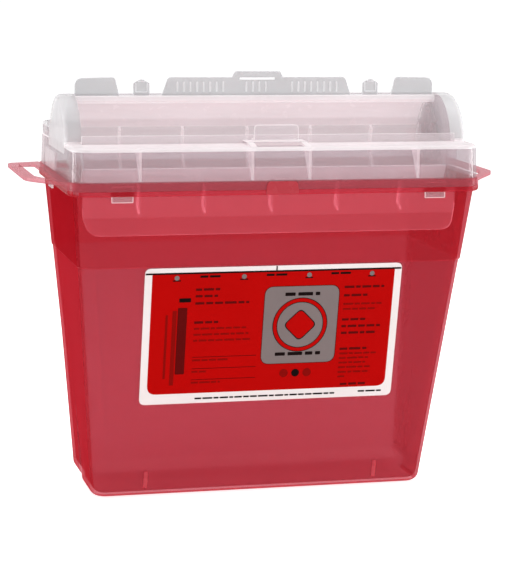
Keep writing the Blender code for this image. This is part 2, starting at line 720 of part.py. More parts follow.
def build_finger_latch(mat):
    """Springy upright tongue in the middle of the shelf, with a web down to the bridge at each side."""
    foot_z = BRIDGE_Z + CLEARANCE
    face = round_corners(
        (
            (-LATCH_HALF_WIDTH, foot_z),
            (LATCH_HALF_WIDTH, foot_z),
            (LATCH_HALF_WIDTH, LATCH_TOP_Z),
            (-LATCH_HALF_WIDTH, LATCH_TOP_Z),
        ),
        (0.0, 0.0, 0.0030, 0.0030),
    )
    piece = add_object("finger_latch", prism(face, "Y", LATCH_FRONT_Y, LATCH_FRONT_Y + LATCH_WALL), mat)
    web = (
        (LATCH_FRONT_Y + LATCH_WALL / 2, foot_z),
        (LATCH_WEB_REAR_Y, foot_z),
        (LATCH_WEB_REAR_Y, foot_z + 0.0010),
        (LATCH_FRONT_Y + LATCH_WALL, LATCH_TOP_Z - 0.0030),
        (LATCH_FRONT_Y + LATCH_WALL / 2, LATCH_TOP_Z - 0.0030),
    )
    for side in (-1, 1):
        x_low, x_high = sorted((side * (LATCH_HALF_WIDTH - 0.0002), side * (LATCH_HALF_WIDTH - LATCH_WALL)))
        combine(piece, prism(web, "X", x_low, x_high), "UNION")
    finish_mesh(piece, 32.0)
    return piece


# ---------------------------------------------------------------- label

def build_front_label(mat):
    """Printed card bonded to the sloping front wall."""
    outline = round_corners(
        (
            (-LABEL_HALF_WIDTH, LABEL_BOTTOM_Z),
            (LABEL_HALF_WIDTH, LABEL_BOTTOM_Z),
            (LABEL_HALF_WIDTH, LABEL_TOP_Z),
            (-LABEL_HALF_WIDTH, LABEL_TOP_Z),
        ),
        (LABEL_CORNER,) * 4,
    )
    piece = add_object("front_label", prism(outline, "Y", -0.080, 0.0), mat)
    sheet = []
    for z, gap in (
        (0.0500, CLEARANCE + LABEL_THICKNESS),
        (0.1640, CLEARANCE + LABEL_THICKNESS),
        (0.1640, CLEARANCE),
        (0.0500, CLEARANCE),
    ):
        sheet.append((mix(BASE_FRONT_Y, TOP_FRONT_Y, z / RIM_BOTTOM_Z) - gap, z))
    combine(piece, prism(sheet, "X", -0.12, 0.12), "INTERSECT")
    finish_mesh(piece, 32.0)
    return piece


def main():
    clear_scene()
    red = material("tub_red", (0.55, 0.03, 0.05), 0.28, 0.75)
    clear = material("lid_clear", (0.80, 0.78, 0.79), 0.30, 0.55)
    tray_clear = material("tray_clear", (0.76, 0.75, 0.77), 0.34, 0.60)
    flap_clear = material("flap_clear", (0.60, 0.60, 0.62), 0.34, 0.85)
    card = material("label_card", (0.80, 0.04, 0.02), 0.42)
    build_tub(red)
    build_lid_housing(clear)
    build_front_baffle(clear)
    build_finger_latch(clear)
    build_drop_tray(tray_clear)
    build_pull_flap(flap_clear)
    build_front_label(card)


main()
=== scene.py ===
"""Looks of the wall-type sharps container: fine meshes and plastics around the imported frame."""

import json
import math

import bmesh
import bpy
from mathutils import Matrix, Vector


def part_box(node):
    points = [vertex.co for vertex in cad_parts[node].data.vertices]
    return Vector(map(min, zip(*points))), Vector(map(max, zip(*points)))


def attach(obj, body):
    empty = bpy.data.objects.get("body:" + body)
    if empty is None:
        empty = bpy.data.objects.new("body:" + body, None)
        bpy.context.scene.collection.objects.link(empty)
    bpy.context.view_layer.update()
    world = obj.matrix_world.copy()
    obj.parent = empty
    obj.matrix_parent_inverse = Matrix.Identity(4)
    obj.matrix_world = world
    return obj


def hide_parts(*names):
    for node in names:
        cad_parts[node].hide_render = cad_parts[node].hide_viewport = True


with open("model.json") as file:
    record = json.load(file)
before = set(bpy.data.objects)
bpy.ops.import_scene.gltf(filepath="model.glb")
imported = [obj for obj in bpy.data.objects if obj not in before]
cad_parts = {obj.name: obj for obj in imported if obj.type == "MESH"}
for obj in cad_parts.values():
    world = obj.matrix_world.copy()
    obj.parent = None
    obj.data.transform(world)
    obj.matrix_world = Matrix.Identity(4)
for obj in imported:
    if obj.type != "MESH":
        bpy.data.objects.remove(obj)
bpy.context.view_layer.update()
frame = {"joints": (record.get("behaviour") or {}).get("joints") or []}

# ------ places taken from the frame

TUB_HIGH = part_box("tub")[1]
LID_LOW, LID_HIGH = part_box("lid_housing")
FLAP_LOW, FLAP_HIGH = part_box("pull_flap")
BAFFLE_LOW, BAFFLE_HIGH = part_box("front_baffle")
LATCH_LOW, LATCH_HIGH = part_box("finger_latch")
LABEL_LOW, LABEL_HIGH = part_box("front_label")
AXIS_Y, AXIS_Z = frame["joints"][0]["pos_m"][1:]

CLEARANCE = 0.0003
RIM_WALL = 0.0013
RIM_HALF_X = LID_HIGH.x + RIM_WALL + CLEARANCE
RIM_HALF_Y = TUB_HIGH.y
RIM_TOP_Z = TUB_HIGH.z
RIM_HEIGHT = 0.0085
RIM_BOTTOM_Z = RIM_TOP_Z - RIM_HEIGHT
CHANNEL_FLOOR = 0.0030
RIM_CORNER = 0.0140
RIM_REAR_CORNER = 0.0085
RIM_INSET = 0.0004

TUB_WALL = 0.0018
TUB_FLOOR = 0.0022
BASE_HALF_WIDTH = 0.1110
BASE_REAR_HALF_WIDTH = 0.1110
TOP_HALF_WIDTH = 0.1288
BASE_FRONT_Y = -0.0232
TOP_FRONT_Y = -0.0625
BASE_REAR_Y = 0.0420
TOP_REAR_Y = 0.0630
TUB_CORNER = 0.0100
TUB_REAR_CORNER = 0.0050
BASE_EDGE = 0.0050
STEP_Z = 0.1545
STEP_OUT = 0.0007
BASE_STEP_Y = 0.0150
BASE_STEP_Z = 0.0070
COLUMN_FRONT_Y = 0.0110
COLUMN_TOP_Z = 0.1250
COLUMN_HALF_WIDTH = 0.1130
FRONT_RIB_X = 0.0770
FRONT_RIB_HALF_WIDTH = 0.0013
FRONT_RIB_PROUD = 0.0006

LOOP_TOP_Z = RIM_TOP_Z - 0.0003
LOOP_THICKNESS = 0.0026
LOOP_FRONT_Y = -0.0230
LOOP_REAR_Y = 0.0570
LOOP_ROOT_FRONT_Y = -0.0560
LOOP_ROOT_REAR_Y = 0.0640
LOOP_BAR = 0.0070

LID_WALL = 0.0016
LID_CORNER = 0.0125
LID_REAR_CORNER = 0.0070
SKIRT_BOTTOM_Z = 0.2040
SHELF_Z = 0.2300
SHELF_REAR_Y = -0.0400
SHELF_LIP_Z = 0.2353
BRIDGE_Z = 0.2322
BRIDGE_HALF_WIDTH = 0.0195
BRIDGE_FRONT_Y = -0.0530
SLOT_FRONT_Y = -0.0615
SLOT_HALF_WIDTH = 0.0150
GUSSET_DEPTH = 0.0140
GUSSET_STATIONS = (0.0184, 0.0893)
REAR_BOX_Z = 0.2365
REAR_BOX_FRONT_Y = 0.0230
CHEEK_INNER_X = 0.1205
CHEEK_OUTER_X = LID_HIGH.x
CLIP_X = 0.1005
CLIP_WIDTH = 0.0134
CLIP_THICKNESS = 0.0014
SIDE_CLIP_Y = 0.0200
SIDE_SLOT_INNER_X = 0.1299
SIDE_PAD_Y = (-0.001, 0.038)
SIDE_PAD_Z = (0.2096, 0.2215)

DOME_RADIUS = 0.0335
TRAY_RADIUS = 0.0312
TRAY_WALL = 0.0015
TRAY_HALF_LENGTH = 0.1195
TRAY_END_WALL = 0.0016
TRAY_LIP_ANGLE = -158.0
TRAY_TOP_ANGLE = 82.5
AXLE_RADIUS = 0.0038
RIB_STATIONS = (-0.0855, -0.0435, 0.0, 0.0435, 0.0855)
RIB_HALF_WIDTH = 0.0008
BEAD_DEPTH = 0.0042
BEAD_BOTTOM_Z = 0.2534
BEAD_TOP_Z = 0.2572

FLAP_Y = FLAP_LOW.y
FLAP_THICKNESS = 0.0015
FLAP_ROOT_Z = FLAP_LOW.z
FLAP_TOP_Z = FLAP_HIGH.z - 0.0038
COMB_ROOT_Z = 0.2575
POST_X = 0.0762
POST_HALF_WIDTH = 0.0054
HOOD_EDGE_Y = FLAP_Y + FLAP_THICKNESS + 0.0006

BAFFLE_FOLD_Z = 0.1845
BAFFLE_TOP_Y = -0.0442
BAFFLE_FOLD_Y = -0.0425
BAFFLE_BOTTOM_Y = -0.0465
BAFFLE_THICKNESS = 0.0014

FLAP_MARK_DEPTH = 0.00025
FLAP_MARK_WIDTH = 0.0012
FLAP_MARK_PITCH = 0.0043

# Tools that cut reach this far beyond the object.
TOOL_HALF_WIDTH = 0.15
TOOL_REAR_Y = 0.08
TOOL_BOTTOM_Z = -0.01

FINE = 10
DOME_STEPS = 48
TRAY_STEPS = 72


# ------ mesh helpers

def mix(low, high, t):
    return low + (high - low) * t


def rounded_outline(front_half, rear_half, front_y, rear_y, front_radius, rear_radius, steps=FINE):
    """Counter-clockwise outline of a four-sided plan with round corners."""
    corners = (
        (-front_half, front_y, front_radius, 180.0),
        (front_half, front_y, front_radius, 270.0),
        (rear_half, rear_y, rear_radius, 0.0),
        (-rear_half, rear_y, rear_radius, 90.0),
    )
    points = []
    for x, y, radius, start in corners:
        centre_x = x - math.copysign(radius, x)
        centre_y = y + radius if y < (front_y + rear_y) / 2 else y - radius
        for step in range(steps + 1):
            angle = math.radians(start + 90.0 * step / steps)
            points.append((centre_x + radius * math.cos(angle), centre_y + radius * math.sin(angle)))
    return points


def quarter_turn(steps):
    """Angles from 0 to 90 degrees, in radians."""
    return [math.radians(90.0 * step / steps) for step in range(steps + 1)]


def on_side(side, first, second):
    """Two distances from the middle as the low and the high x on one side of it."""
    return sorted((side * first, side * second))


def near_any(value, stations, reach):
    return any(abs(value - station) < reach for station in stations)


def place(axis, u, v, value):
    return {"X": (value, u, v), "Y": (u, value, v), "Z": (u, v, value)}[axis]


def loft(sections, axis="Z"):
    """Closes a stack of (outline, level) rings of equal length into one solid."""
    bm = bmesh.new()
    rings = [[bm.verts.new(place(axis, u, v, level)) for u, v in outline] for outline, level in sections]
    for lower, upper in zip(rings, rings[1:]):
        count = len(lower)
        for i in range(count):
            bm.faces.new((lower[i], lower[(i + 1) % count], upper[(i + 1) % count], upper[i]))
    bm.faces.new(list(reversed(rings[0])))
    bm.faces.new(rings[-1])
    bmesh.ops.recalc_face_normals(bm, faces=bm.faces)
    return bm


def soften(bm, width, segments=2, angle=40.0):
    """Rounds the sharp edges of a solid."""
    limit = math.radians(angle)
    edges = [e for e in bm.edges if e.is_manifold and e.calc_face_angle() > limit]
    bmesh.ops.bevel(
        bm, geom=edges, offset=width, segments=segments, profile=0.5, affect="EDGES", clamp_overlap=True
    )
    return bm


def prism(outline, axis, start, end, edge=0.0, segments=2):
    bm = loft([(outline, start), (outline, end)], axis)
    return soften(bm, edge, segments) if edge > 0.0 else bm


def box(low, high, edge=0.0):
    outline = ((low[0], low[1]), (high[0], low[1]), (high[0], high[1]), (low[0], high[1]))
    return prism(outline, "Z", low[2], high[2], edge)


def round_corners(points, reaches, steps=6):
    """Replaces each corner of a closed outline with a smooth curve of the given reach."""
    result = []
    count = len(points)
    for i, (point, reach) in enumerate(zip(points, reaches)):
        corner = Vector(point)
        if reach <= 0.0:
            result.append(tuple(corner))
            continue
        before = Vector(points[i - 1])
        after = Vector(points[(i + 1) % count])
        start = corner + (before - corner).normalized() * reach
        end = corner + (after - corner).normalized() * reach
        for step in range(steps + 1):
            t = step / steps
            curve = start * (1 - t) ** 2 + corner * 2 * t * (1 - t) + end * t ** 2
            result.append(tuple(curve))
    return result


def circle(u, v, radius, steps=32):
    return [
        (u + radius * math.cos(math.tau * i / steps), v + radius * math.sin(math.tau * i / steps))
        for i in range(steps)
    ]


def arc_points(radius, start, end, steps):
    """Points (y, z) on a circle about the tray's axis; 0 degrees is the rear, 90 the top."""
    points = []
    for step in range(steps + 1):
        angle = math.radians(mix(start, end, step / steps))
        points.append((AXIS_Y + radius * math.cos(angle), AXIS_Z + radius * math.sin(angle)))
    return points


def new_object(name, bm, *materials):
    mesh = bpy.data.meshes.new(name)
    bmesh.ops.recalc_face_normals(bm, faces=bm.faces)
    bm.to_mesh(mesh)
    bm.free()
    for item in materials:
        mesh.materials.append(item)
    piece = bpy.data.objects.new(name, mesh)
    bpy.context.scene.collection.objects.link(piece)
    return piece


def combine(target, tool_bm, operation):
    """Joins, cuts or keeps the common part of a solid and a tool solid."""
    tool = new_object("tool", tool_bm)
    modifier = target.modifiers.new("combine", "BOOLEAN")
    modifier.operation = operation
    modifier.solver = "EXACT"
    modifier.object = tool
    graph = bpy.context.evaluated_depsgraph_get()
    result = bpy.data.meshes.new_from_object(target.evaluated_get(graph))
    target.modifiers.clear()
    old = target.data
    target.data = result
    bpy.data.meshes.remove(old)
    bpy.data.objects.remove(tool, do_unlink=True)


def join(target, tool_bm):
    combine(target, tool_bm, "UNION")


def cut(target, tool_bm):
    combine(target, tool_bm, "DIFFERENCE")


def finish_piece(piece, body, edge_width=0.0, smooth_angle=35.0, picker=None):
    """Cleans a solid, shares out its materials, shades it and sets it on its body.

    Faces narrower than edge_width take the piece's second material. Where picker names one of
    the piece's materials for a face, that one is used instead.
    """
    slots = [item.name for item in piece.data.materials]
    bm = bmesh.new()
    bm.from_mesh(piece.data)
    bmesh.ops.remove_doubles(bm, verts=bm.verts, dist=0.000003)
    bmesh.ops.dissolve_degenerate(bm, edges=bm.edges, dist=0.000003)
    for face in bm.faces:
        narrow = face.calc_area() / (face.calc_perimeter() / 2) < edge_width
        face.material_index = 1 if narrow else 0
        chosen = picker(face.calc_center_median(), face.normal) if picker else None
        if chosen is not None:
            face.material_index = slots.index(chosen.name)
    bm.to_mesh(piece.data)
    bm.free()
    piece.data.name = piece.name
    piece.data.shade_smooth()
    piece.data.set_sharp_from_angle(angle=math.radians(smooth_angle))
    weighted = piece.modifiers.new("even_shading", "WEIGHTED_NORMAL")
    weighted.keep_sharp = True
    weighted.weight = 80
    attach(piece, body)
    return piece


# ------ materials

# Noise values rarely leave this range.
NOISE_LOW = 0.3
NOISE_HIGH = 0.7


def node(tree, kind, **values):
    item = tree.nodes.new(kind)
    for key, value in values.items():
        setattr(item, key, value)
    return item


def grain(tree, scale, detail=4.0, roughness=0.55):
    """Noise in the piece's own space."""
    coords = node(tree, "ShaderNodeTexCoord")
    noise = node(tree, "ShaderNodeTexNoise")
    noise.inputs["Scale"].default_value = scale
    noise.inputs["Detail"].default_value = detail
    noise.inputs["Roughness"].default_value = roughness
    tree.links.new(coords.outputs["Object"], noise.inputs["Vector"])
    return noise.outputs["Fac"]


def ramp(tree, source, low, high):
    """Turns a 0..1 value into a colour between two close shades."""
    item = node(tree, "ShaderNodeValToRGB")
    item.color_ramp.elements[0].position = NOISE_LOW
    item.color_ramp.elements[0].color = (*low, 1.0)
    item.color_ramp.elements[1].position = NOISE_HIGH
    item.color_ramp.elements[1].color = (*high, 1.0)
    tree.links.new(source, item.inputs["Fac"])
    return item.outputs["Color"]


def span(tree, source, low, high, source_low=0.0, source_high=1.0):
    """Moves a value from the source's range into the range from low to high."""
    moved = node(tree, "ShaderNodeMapRange")
    moved.inputs["From Min"].default_value = source_low
    moved.inputs["From Max"].default_value = source_high
    moved.inputs["To Min"].default_value = low
    moved.inputs["To Max"].default_value = high
    tree.links.new(source, moved.inputs["Value"])
    return moved.outputs["Result"]


def mix_shaders(tree, factor, first, second):
    item = node(tree, "ShaderNodeMixShader")
    tree.links.new(factor, item.inputs["Fac"])
    tree.links.new(first, item.inputs[1])
    tree.links.new(second, item.inputs[2])
    return item.outputs["Shader"]


def shade(color, factor):
    return tuple(min(channel * factor, 1.0) for channel in color)


def plastic(
    name, color, roughness, opacity=1.0, tint=(1.0, 1.0, 1.0), bump=0.10, variation=0.04, gloss=0.5, glow=0.0,
    shine=0.0, thickening=0.30,
):
    """Moulded plastic with cloudy colour, uneven gloss and a fine moulded skin.

    Below opacity 1 it lets tinted light through. Thickening is the share of that light which is
    lost edge-on, where the view runs through more of the wall. Glow is a constant emission that
    stands in for light scattered inside a thin wall. Shine is the roughness of a clear surface
    gloss, and 0 means none.
    """
    mat = bpy.data.materials.new(name)
    mat.use_nodes = True
    tree = mat.node_tree
    shader = tree.nodes["Principled BSDF"]
    output = tree.nodes["Material Output"]
    clouds = grain(tree, 22.0, 3.0)
    color_out = ramp(tree, clouds, shade(color, 1.0 - variation), shade(color, 1.0 + variation))
    tree.links.new(color_out, shader.inputs["Base Color"])
    uneven = span(tree, grain(tree, 140.0), roughness - 0.04, roughness + 0.05, NOISE_LOW, NOISE_HIGH)
    tree.links.new(uneven, shader.inputs["Roughness"])
    shader.inputs["IOR"].default_value = 1.49
    shader.inputs["Specular IOR Level"].default_value = gloss
    shader.inputs["Emission Color"].default_value = (*color, 1.0)
    shader.inputs["Emission Strength"].default_value = glow
    skin = node(tree, "ShaderNodeBump")
    skin.inputs["Strength"].default_value = bump
    skin.inputs["Distance"].default_value = 0.0002
    tree.links.new(grain(tree, 900.0, 2.0), skin.inputs["Height"])
    tree.links.new(skin.outputs["Normal"], shader.inputs["Normal"])
    if opacity < 1.0:
        clear = node(tree, "ShaderNodeBsdfTransparent")
        clear.name = "clear"
        clear.inputs["Color"].default_value = (*tint, 1.0)
        edge_on = node(tree, "ShaderNodeLayerWeight")
        rise = node(tree, "ShaderNodeMath", operation="POWER")
        rise.inputs[1].default_value = 3.0
        tree.links.new(edge_on.outputs["Facing"], rise.inputs[0])
        steep = opacity + (1.0 - opacity) * thickening
        share = span(tree, rise.outputs[0], opacity, steep)
        surface = mix_shaders(tree, share, clear.outputs["BSDF"], shader.outputs["BSDF"])
        if shine > 0.0:
            coat = node(tree, "ShaderNodeBsdfGlossy")
            coat.inputs["Roughness"].default_value = shine
            share = span(tree, rise.outputs[0], 0.03, 0.45)
            surface = mix_shaders(tree, share, surface, coat.outputs["BSDF"])
        tree.links.new(surface, output.inputs["Surface"])
    return mat


def deepen_above(mat, level, factor, tint):
    """Makes a plastic's colour, and the tint of the light it lets through, deeper above a height."""
    tree = mat.node_tree
    shader = tree.nodes["Principled BSDF"]
    clear = tree.nodes["clear"]
    source = shader.inputs["Base Color"].links[0].from_socket
    coords = node(tree, "ShaderNodeTexCoord")
    split = node(tree, "ShaderNodeSeparateXYZ")
    tree.links.new(coords.outputs["Object"], split.inputs["Vector"])
    above = span(tree, split.outputs["Z"], 0.0, 1.0, level - 0.0004, level + 0.0004)
    blend = node(tree, "ShaderNodeMix", data_type="RGBA", blend_type="MULTIPLY")
    blend.inputs[7].default_value = (*factor, 1.0)
    tree.links.new(above, blend.inputs[0])
    tree.links.new(source, blend.inputs[6])
    tree.links.new(blend.outputs[2], shader.inputs["Base Color"])
    filtered = node(tree, "ShaderNodeMix", data_type="RGBA")
    filtered.inputs[6].default_value = clear.inputs["Color"].default_value
    filtered.inputs[7].default_value = (*tint, 1.0)
    tree.links.new(above, filtered.inputs[0])
    tree.links.new(filtered.outputs[2], clear.inputs["Color"])


RED_TINT = (0.95, 0.66, 0.71)
WHITE_TINT = (0.985, 0.975, 0.98)
RED_BODY = plastic("tub_red", (0.450, 0.022, 0.036), 0.28, 0.40, RED_TINT, 0.0, 0.02, 0.08, thickening=0.70)
RED_EDGE = plastic("tub_red_edge", (0.600, 0.055, 0.075), 0.26, 0.74, RED_TINT, 0.04, gloss=0.30)
RED_RIM = plastic("tub_red_rim", (0.560, 0.100, 0.130), 0.22, 0.32, (0.96, 0.70, 0.74), 0.04)
# Darker, deeper red copy of the tub plastic for the outer side walls: painted shade on the sides.
RED_SHADED_SIDE = plastic(
    "tub_red_shaded_side", (0.400, 0.010, 0.018), 0.24, 0.46, (0.93, 0.54, 0.59), 0.0, 0.02, 0.0, thickening=0.80
)
# Dark red for lines under the rim and along the underside of the base edge: painted shade.
RED_SHADE_LINE = plastic("tub_red_shade_line", (0.440, 0.010, 0.022), 0.24, 0.62, (0.90, 0.30, 0.36), 0.04, 0.02, 0.20)
LID_BODY = plastic("lid_clear", (0.800, 0.725, 0.755), 0.20, 0.14, (0.936, 0.912, 0.925), shine=0.12)
# Whiter, more opaque lid plastic for edges, webs and the shelf's top, with painted glow; on the shelf's top
# it is a painted highlight.
LID_EDGE = plastic("lid_clear_edge", (0.980, 0.925, 0.940), 0.20, 0.60, WHITE_TINT, glow=0.18)
LID_CHEEK = plastic("lid_clear_cheek", (0.930, 0.928, 0.936), 0.20, 0.38, (0.95, 0.95, 0.955))
# The lip, latch, tray edge and flap edge plastics below carry a weak painted glow.
LID_LIP = plastic("lid_clear_lip", (0.940, 0.890, 0.905), 0.20, 0.26, WHITE_TINT, glow=0.10)
LATCH_BODY = plastic("latch_clear", (0.900, 0.860, 0.875), 0.20, 0.14, WHITE_TINT, glow=0.10)
TRAY_BODY = plastic("tray_clear", (0.800, 0.785, 0.790), 0.28, 0.25, (0.930, 0.922, 0.926), shine=0.20)
TRAY_EDGE = plastic("tray_clear_edge", (0.970, 0.935, 0.945), 0.24, 0.50, WHITE_TINT, glow=0.20)
FLAP_BODY = plastic("flap_clear", (0.820, 0.825, 0.835), 0.32, 0.58, (0.88, 0.88, 0.89))
FLAP_EDGE = plastic("flap_clear_edge", (0.930, 0.935, 0.945), 0.26, 0.82, (0.90, 0.90, 0.92), glow=0.10)
# The baffle plastics carry painted glow, strongest along its edges.
BAFFLE_BODY = plastic("baffle_clear", (0.880, 0.860, 0.900), 0.32, 0.30, WHITE_TINT, glow=0.95)
BAFFLE_EDGE = plastic("baffle_clear_edge", (0.980, 0.900, 0.930), 0.28, 0.80, WHITE_TINT, glow=1.60)
BAFFLE_FOOT = plastic("baffle_clear_foot", (0.880, 0.850, 0.890), 0.32, 0.30, WHITE_TINT, glow=0.62)
BAFFLE_TOP = plastic("baffle_clear_top", (0.760, 0.690, 0.720), 0.28, 0.14, (0.95, 0.92, 0.93))
deepen_above(RED_BODY, STEP_Z, (0.98, 0.52, 0.57), (0.95, 0.54, 0.59))
deepen_above(RED_SHADED_SIDE, STEP_Z, (0.80, 0.45, 0.52), (0.90, 0.38, 0.44))


def print_ink(name, color, roughness=0.48):
    return plastic(name, color, roughness, bump=0.04, variation=0.03, gloss=0.03)


CARD = print_ink("label_card", (0.830, 0.760, 0.750))
CARD_RED = print_ink("label_red", (0.450, 0.0006, 0.0002), 0.56)
CARD_BLACK = print_ink("label_black", (0.010, 0.004, 0.004))
CARD_GREY = print_ink("label_grey", (0.205, 0.165, 0.162))
CARD_DARK_RED = print_ink("label_dark_red", (0.110, 0.002, 0.002))
CARD_FAINT_RED = print_ink("label_faint_red", (0.235, 0.002, 0.001))


# ------ tub

def front_wall_y(z):
    return mix(BASE_FRONT_Y, TOP_FRONT_Y, z / RIM_BOTTOM_Z)


def tub_outline(z, inset):
    """Plan of the tapering tub at a height, moved inwards by inset."""
    t = min(z / RIM_BOTTOM_Z, 1.0)
    out = STEP_OUT if z > STEP_Z else 0.0
    return rounded_outline(
        mix(BASE_HALF_WIDTH, TOP_HALF_WIDTH, t) + out - inset,
        mix(BASE_REAR_HALF_WIDTH, TOP_HALF_WIDTH, t) + out - inset,
        mix(BASE_FRONT_Y, TOP_FRONT_Y, t) - out + inset,
        mix(BASE_REAR_Y, TOP_REAR_Y, t) - inset,
        max(TUB_CORNER - inset, 0.0015),
        max(TUB_REAR_CORNER - inset, 0.0010),
    )


def rim_outline(inset):
    inset = inset + RIM_INSET
    half = RIM_HALF_X - inset
    depth = RIM_HALF_Y - inset
    return rounded_outline(half, half, -depth, depth, RIM_CORNER - inset, RIM_REAR_CORNER - inset)


def wall_stack(inset, base_z, top_z):
    """Rings of the tapering wall, with a round lower edge and the small step part way up."""
    rings = []
    for turn in quarter_turn(6):
        height = base_z + BASE_EDGE * (1 - math.cos(turn))
        rings.append((tub_outline(height, inset + BASE_EDGE * (1 - math.sin(turn))), height))
    rings.append((tub_outline(STEP_Z - 0.0002, inset), STEP_Z - 0.0002))
    rings.append((tub_outline(STEP_Z + 0.0006, inset), STEP_Z + 0.0006))
    rings.append((tub_outline(top_z, inset), top_z))
    return rings


def column_half_width(z):
    side = mix(BASE_REAR_HALF_WIDTH, TOP_HALF_WIDTH, COLUMN_TOP_Z / RIM_BOTTOM_Z) - 0.0004
    return mix(COLUMN_HALF_WIDTH, side, (z - BASE_STEP_Z) / (COLUMN_TOP_Z - BASE_STEP_Z))


def column_stack(inset, base_z):
    """Rings of the fuller rear part that stands out from the lower side walls."""
    rings = []
    for rise, pulled_in in ((0.0, 0.0025), (0.0004, 0.0014), (0.0012, 0.0006), (0.0028, 0.0), (None, 0.0)):
        z = COLUMN_TOP_Z if rise is None else base_z + rise
        rear = mix(BASE_REAR_Y, TOP_REAR_Y, z / RIM_BOTTOM_Z)
        half = column_half_width(z) - inset - pulled_in
        outline = rounded_outline(
            half, half, COLUMN_FRONT_Y + inset, rear - inset - 0.0002, 0.0035, 0.0045 - inset, 6
        )
        rings.append((outline, z))
    return rings


def loop_outline(side):
    points = (
        (RIM_HALF_X - 0.0010, LOOP_ROOT_FRONT_Y),
        (TUB_HIGH.x, LOOP_FRONT_Y),
        (TUB_HIGH.x, LOOP_REAR_Y),
        (RIM_HALF_X - 0.0010, LOOP_ROOT_REAR_Y),
    )
    outline = round_corners(points, (0.0, 0.006, 0.005, 0.0))
    return [(side * x, y) for x, y in outline]


def loop_hole_outline(side):
    points = (
        (RIM_HALF_X + 0.0035, LOOP_ROOT_FRONT_Y + 0.0130),
        (TUB_HIGH.x - LOOP_BAR, LOOP_FRONT_Y + 0.0045),
        (TUB_HIGH.x - LOOP_BAR, LOOP_REAR_Y - 0.0030),
        (RIM_HALF_X + 0.0035, LOOP_ROOT_REAR_Y - 0.0100),
    )
    outline = round_corners(points, (0.004, 0.003, 0.003, 0.003))
    return [(side * x, y) for x, y in outline]


def cut_rim_channel(piece):
    """Opens the groove in the rim that takes the skirt of the lid."""
    floor_z = RIM_BOTTOM_Z + CHANNEL_FLOOR
    inner = rim_outline(RIM_WALL - RIM_INSET)
    groove = new_object("groove", loft([(inner, floor_z), (inner, RIM_TOP_Z + 0.005)]))
    core = tub_outline(floor_z, 0.0)
    cut(groove, loft([(core, floor_z - 0.001), (core, RIM_TOP_Z + 0.006)]))
    cut(piece, take_mesh(groove))


def take_mesh(piece):
    """Moves an object's mesh into a bmesh and removes the object."""
    bm = bmesh.new()
    bm.from_mesh(piece.data)
    bpy.data.objects.remove(piece, do_unlink=True)
    return bm


def clip_slots():
    """Openings in the floor of the rim channel where the lid's clips reach through."""
    half = CLIP_WIDTH / 2 + 0.0005
    low_z = RIM_BOTTOM_Z - 0.001
    high_z = RIM_BOTTOM_Z + 0.004
    slots = []
    for side in (-1, 1):
        x = side * CLIP_X
        for y_low, y_high in (
            (-RIM_HALF_Y + RIM_WALL, TOP_FRONT_Y - 0.0008),
            (TOP_REAR_Y + 0.0006, RIM_HALF_Y - RIM_WALL),
        ):
            slots.append(((x - half, y_low, low_z), (x + half, y_high, high_z)))
        x_low, x_high = on_side(side, SIDE_SLOT_INNER_X, RIM_HALF_X - RIM_WALL)
        slots.append(((x_low, SIDE_CLIP_Y - half, low_z), (x_high, SIDE_CLIP_Y + half, high_z)))
    return slots


def step_block(front_y, top_z):
    """Block below the raised rear part of the base."""
    return box((-TOOL_HALF_WIDTH, front_y, TOOL_BOTTOM_Z), (TOOL_HALF_WIDTH, TOOL_REAR_Y, top_z))


def front_rib(x):
    """Low stiffening rib on the outside of the front wall, down to the base."""
    low_z = 0.0060
    high_z = 0.0175
    profile = (
        (front_wall_y(low_z) - FRONT_RIB_PROUD, low_z),
        (front_wall_y(high_z) - FRONT_RIB_PROUD, high_z),
        (front_wall_y(high_z) + TUB_WALL / 2, high_z),
        (front_wall_y(low_z) + TUB_WALL / 2, low_z),
    )
    return prism(profile, "X", x - FRONT_RIB_HALF_WIDTH, x + FRONT_RIB_HALF_WIDTH, edge=0.0003)


def tub_material(centre, normal):
    """Light rim, loops and floor edge; painted shade: dark lines under the rim and the base, deeper red
    sides.
    """
    if centre.z < BASE_STEP_Z + BASE_EDGE and abs(normal.z) > 0.9:
        return RED_RIM
    # Painted shade: a dark line along the underside of the base edge.
    if centre.z < BASE_EDGE * 0.4 and normal.y < 0.1 and -0.96 < normal.z < -0.05:
        return RED_SHADE_LINE
    # Painted shade: a dark line under the rim.
    on_outside = abs(centre.y) > RIM_HALF_Y - 0.0035 or abs(centre.x) > RIM_HALF_X - 0.0035
    if on_outside and RIM_BOTTOM_Z - 0.0006 < centre.z < RIM_BOTTOM_Z + 0.0032:
        return RED_SHADE_LINE
    if centre.z > RIM_BOTTOM_Z + CHANNEL_FLOOR - 0.0005:
        return RED_RIM
    # Painted shade: the outer side walls take the darker copy of the red.
    if abs(normal.x) > 0.75 and normal.x * centre.x > 0.0 and abs(centre.x) > BASE_REAR_HALF_WIDTH - 0.004:
        return RED_SHADED_SIDE
    on_rib = near_any(abs(centre.x), (FRONT_RIB_X,), FRONT_RIB_HALF_WIDTH + 0.0003) and centre.z < 0.02
    return RED_EDGE if on_rib else RED_BODY


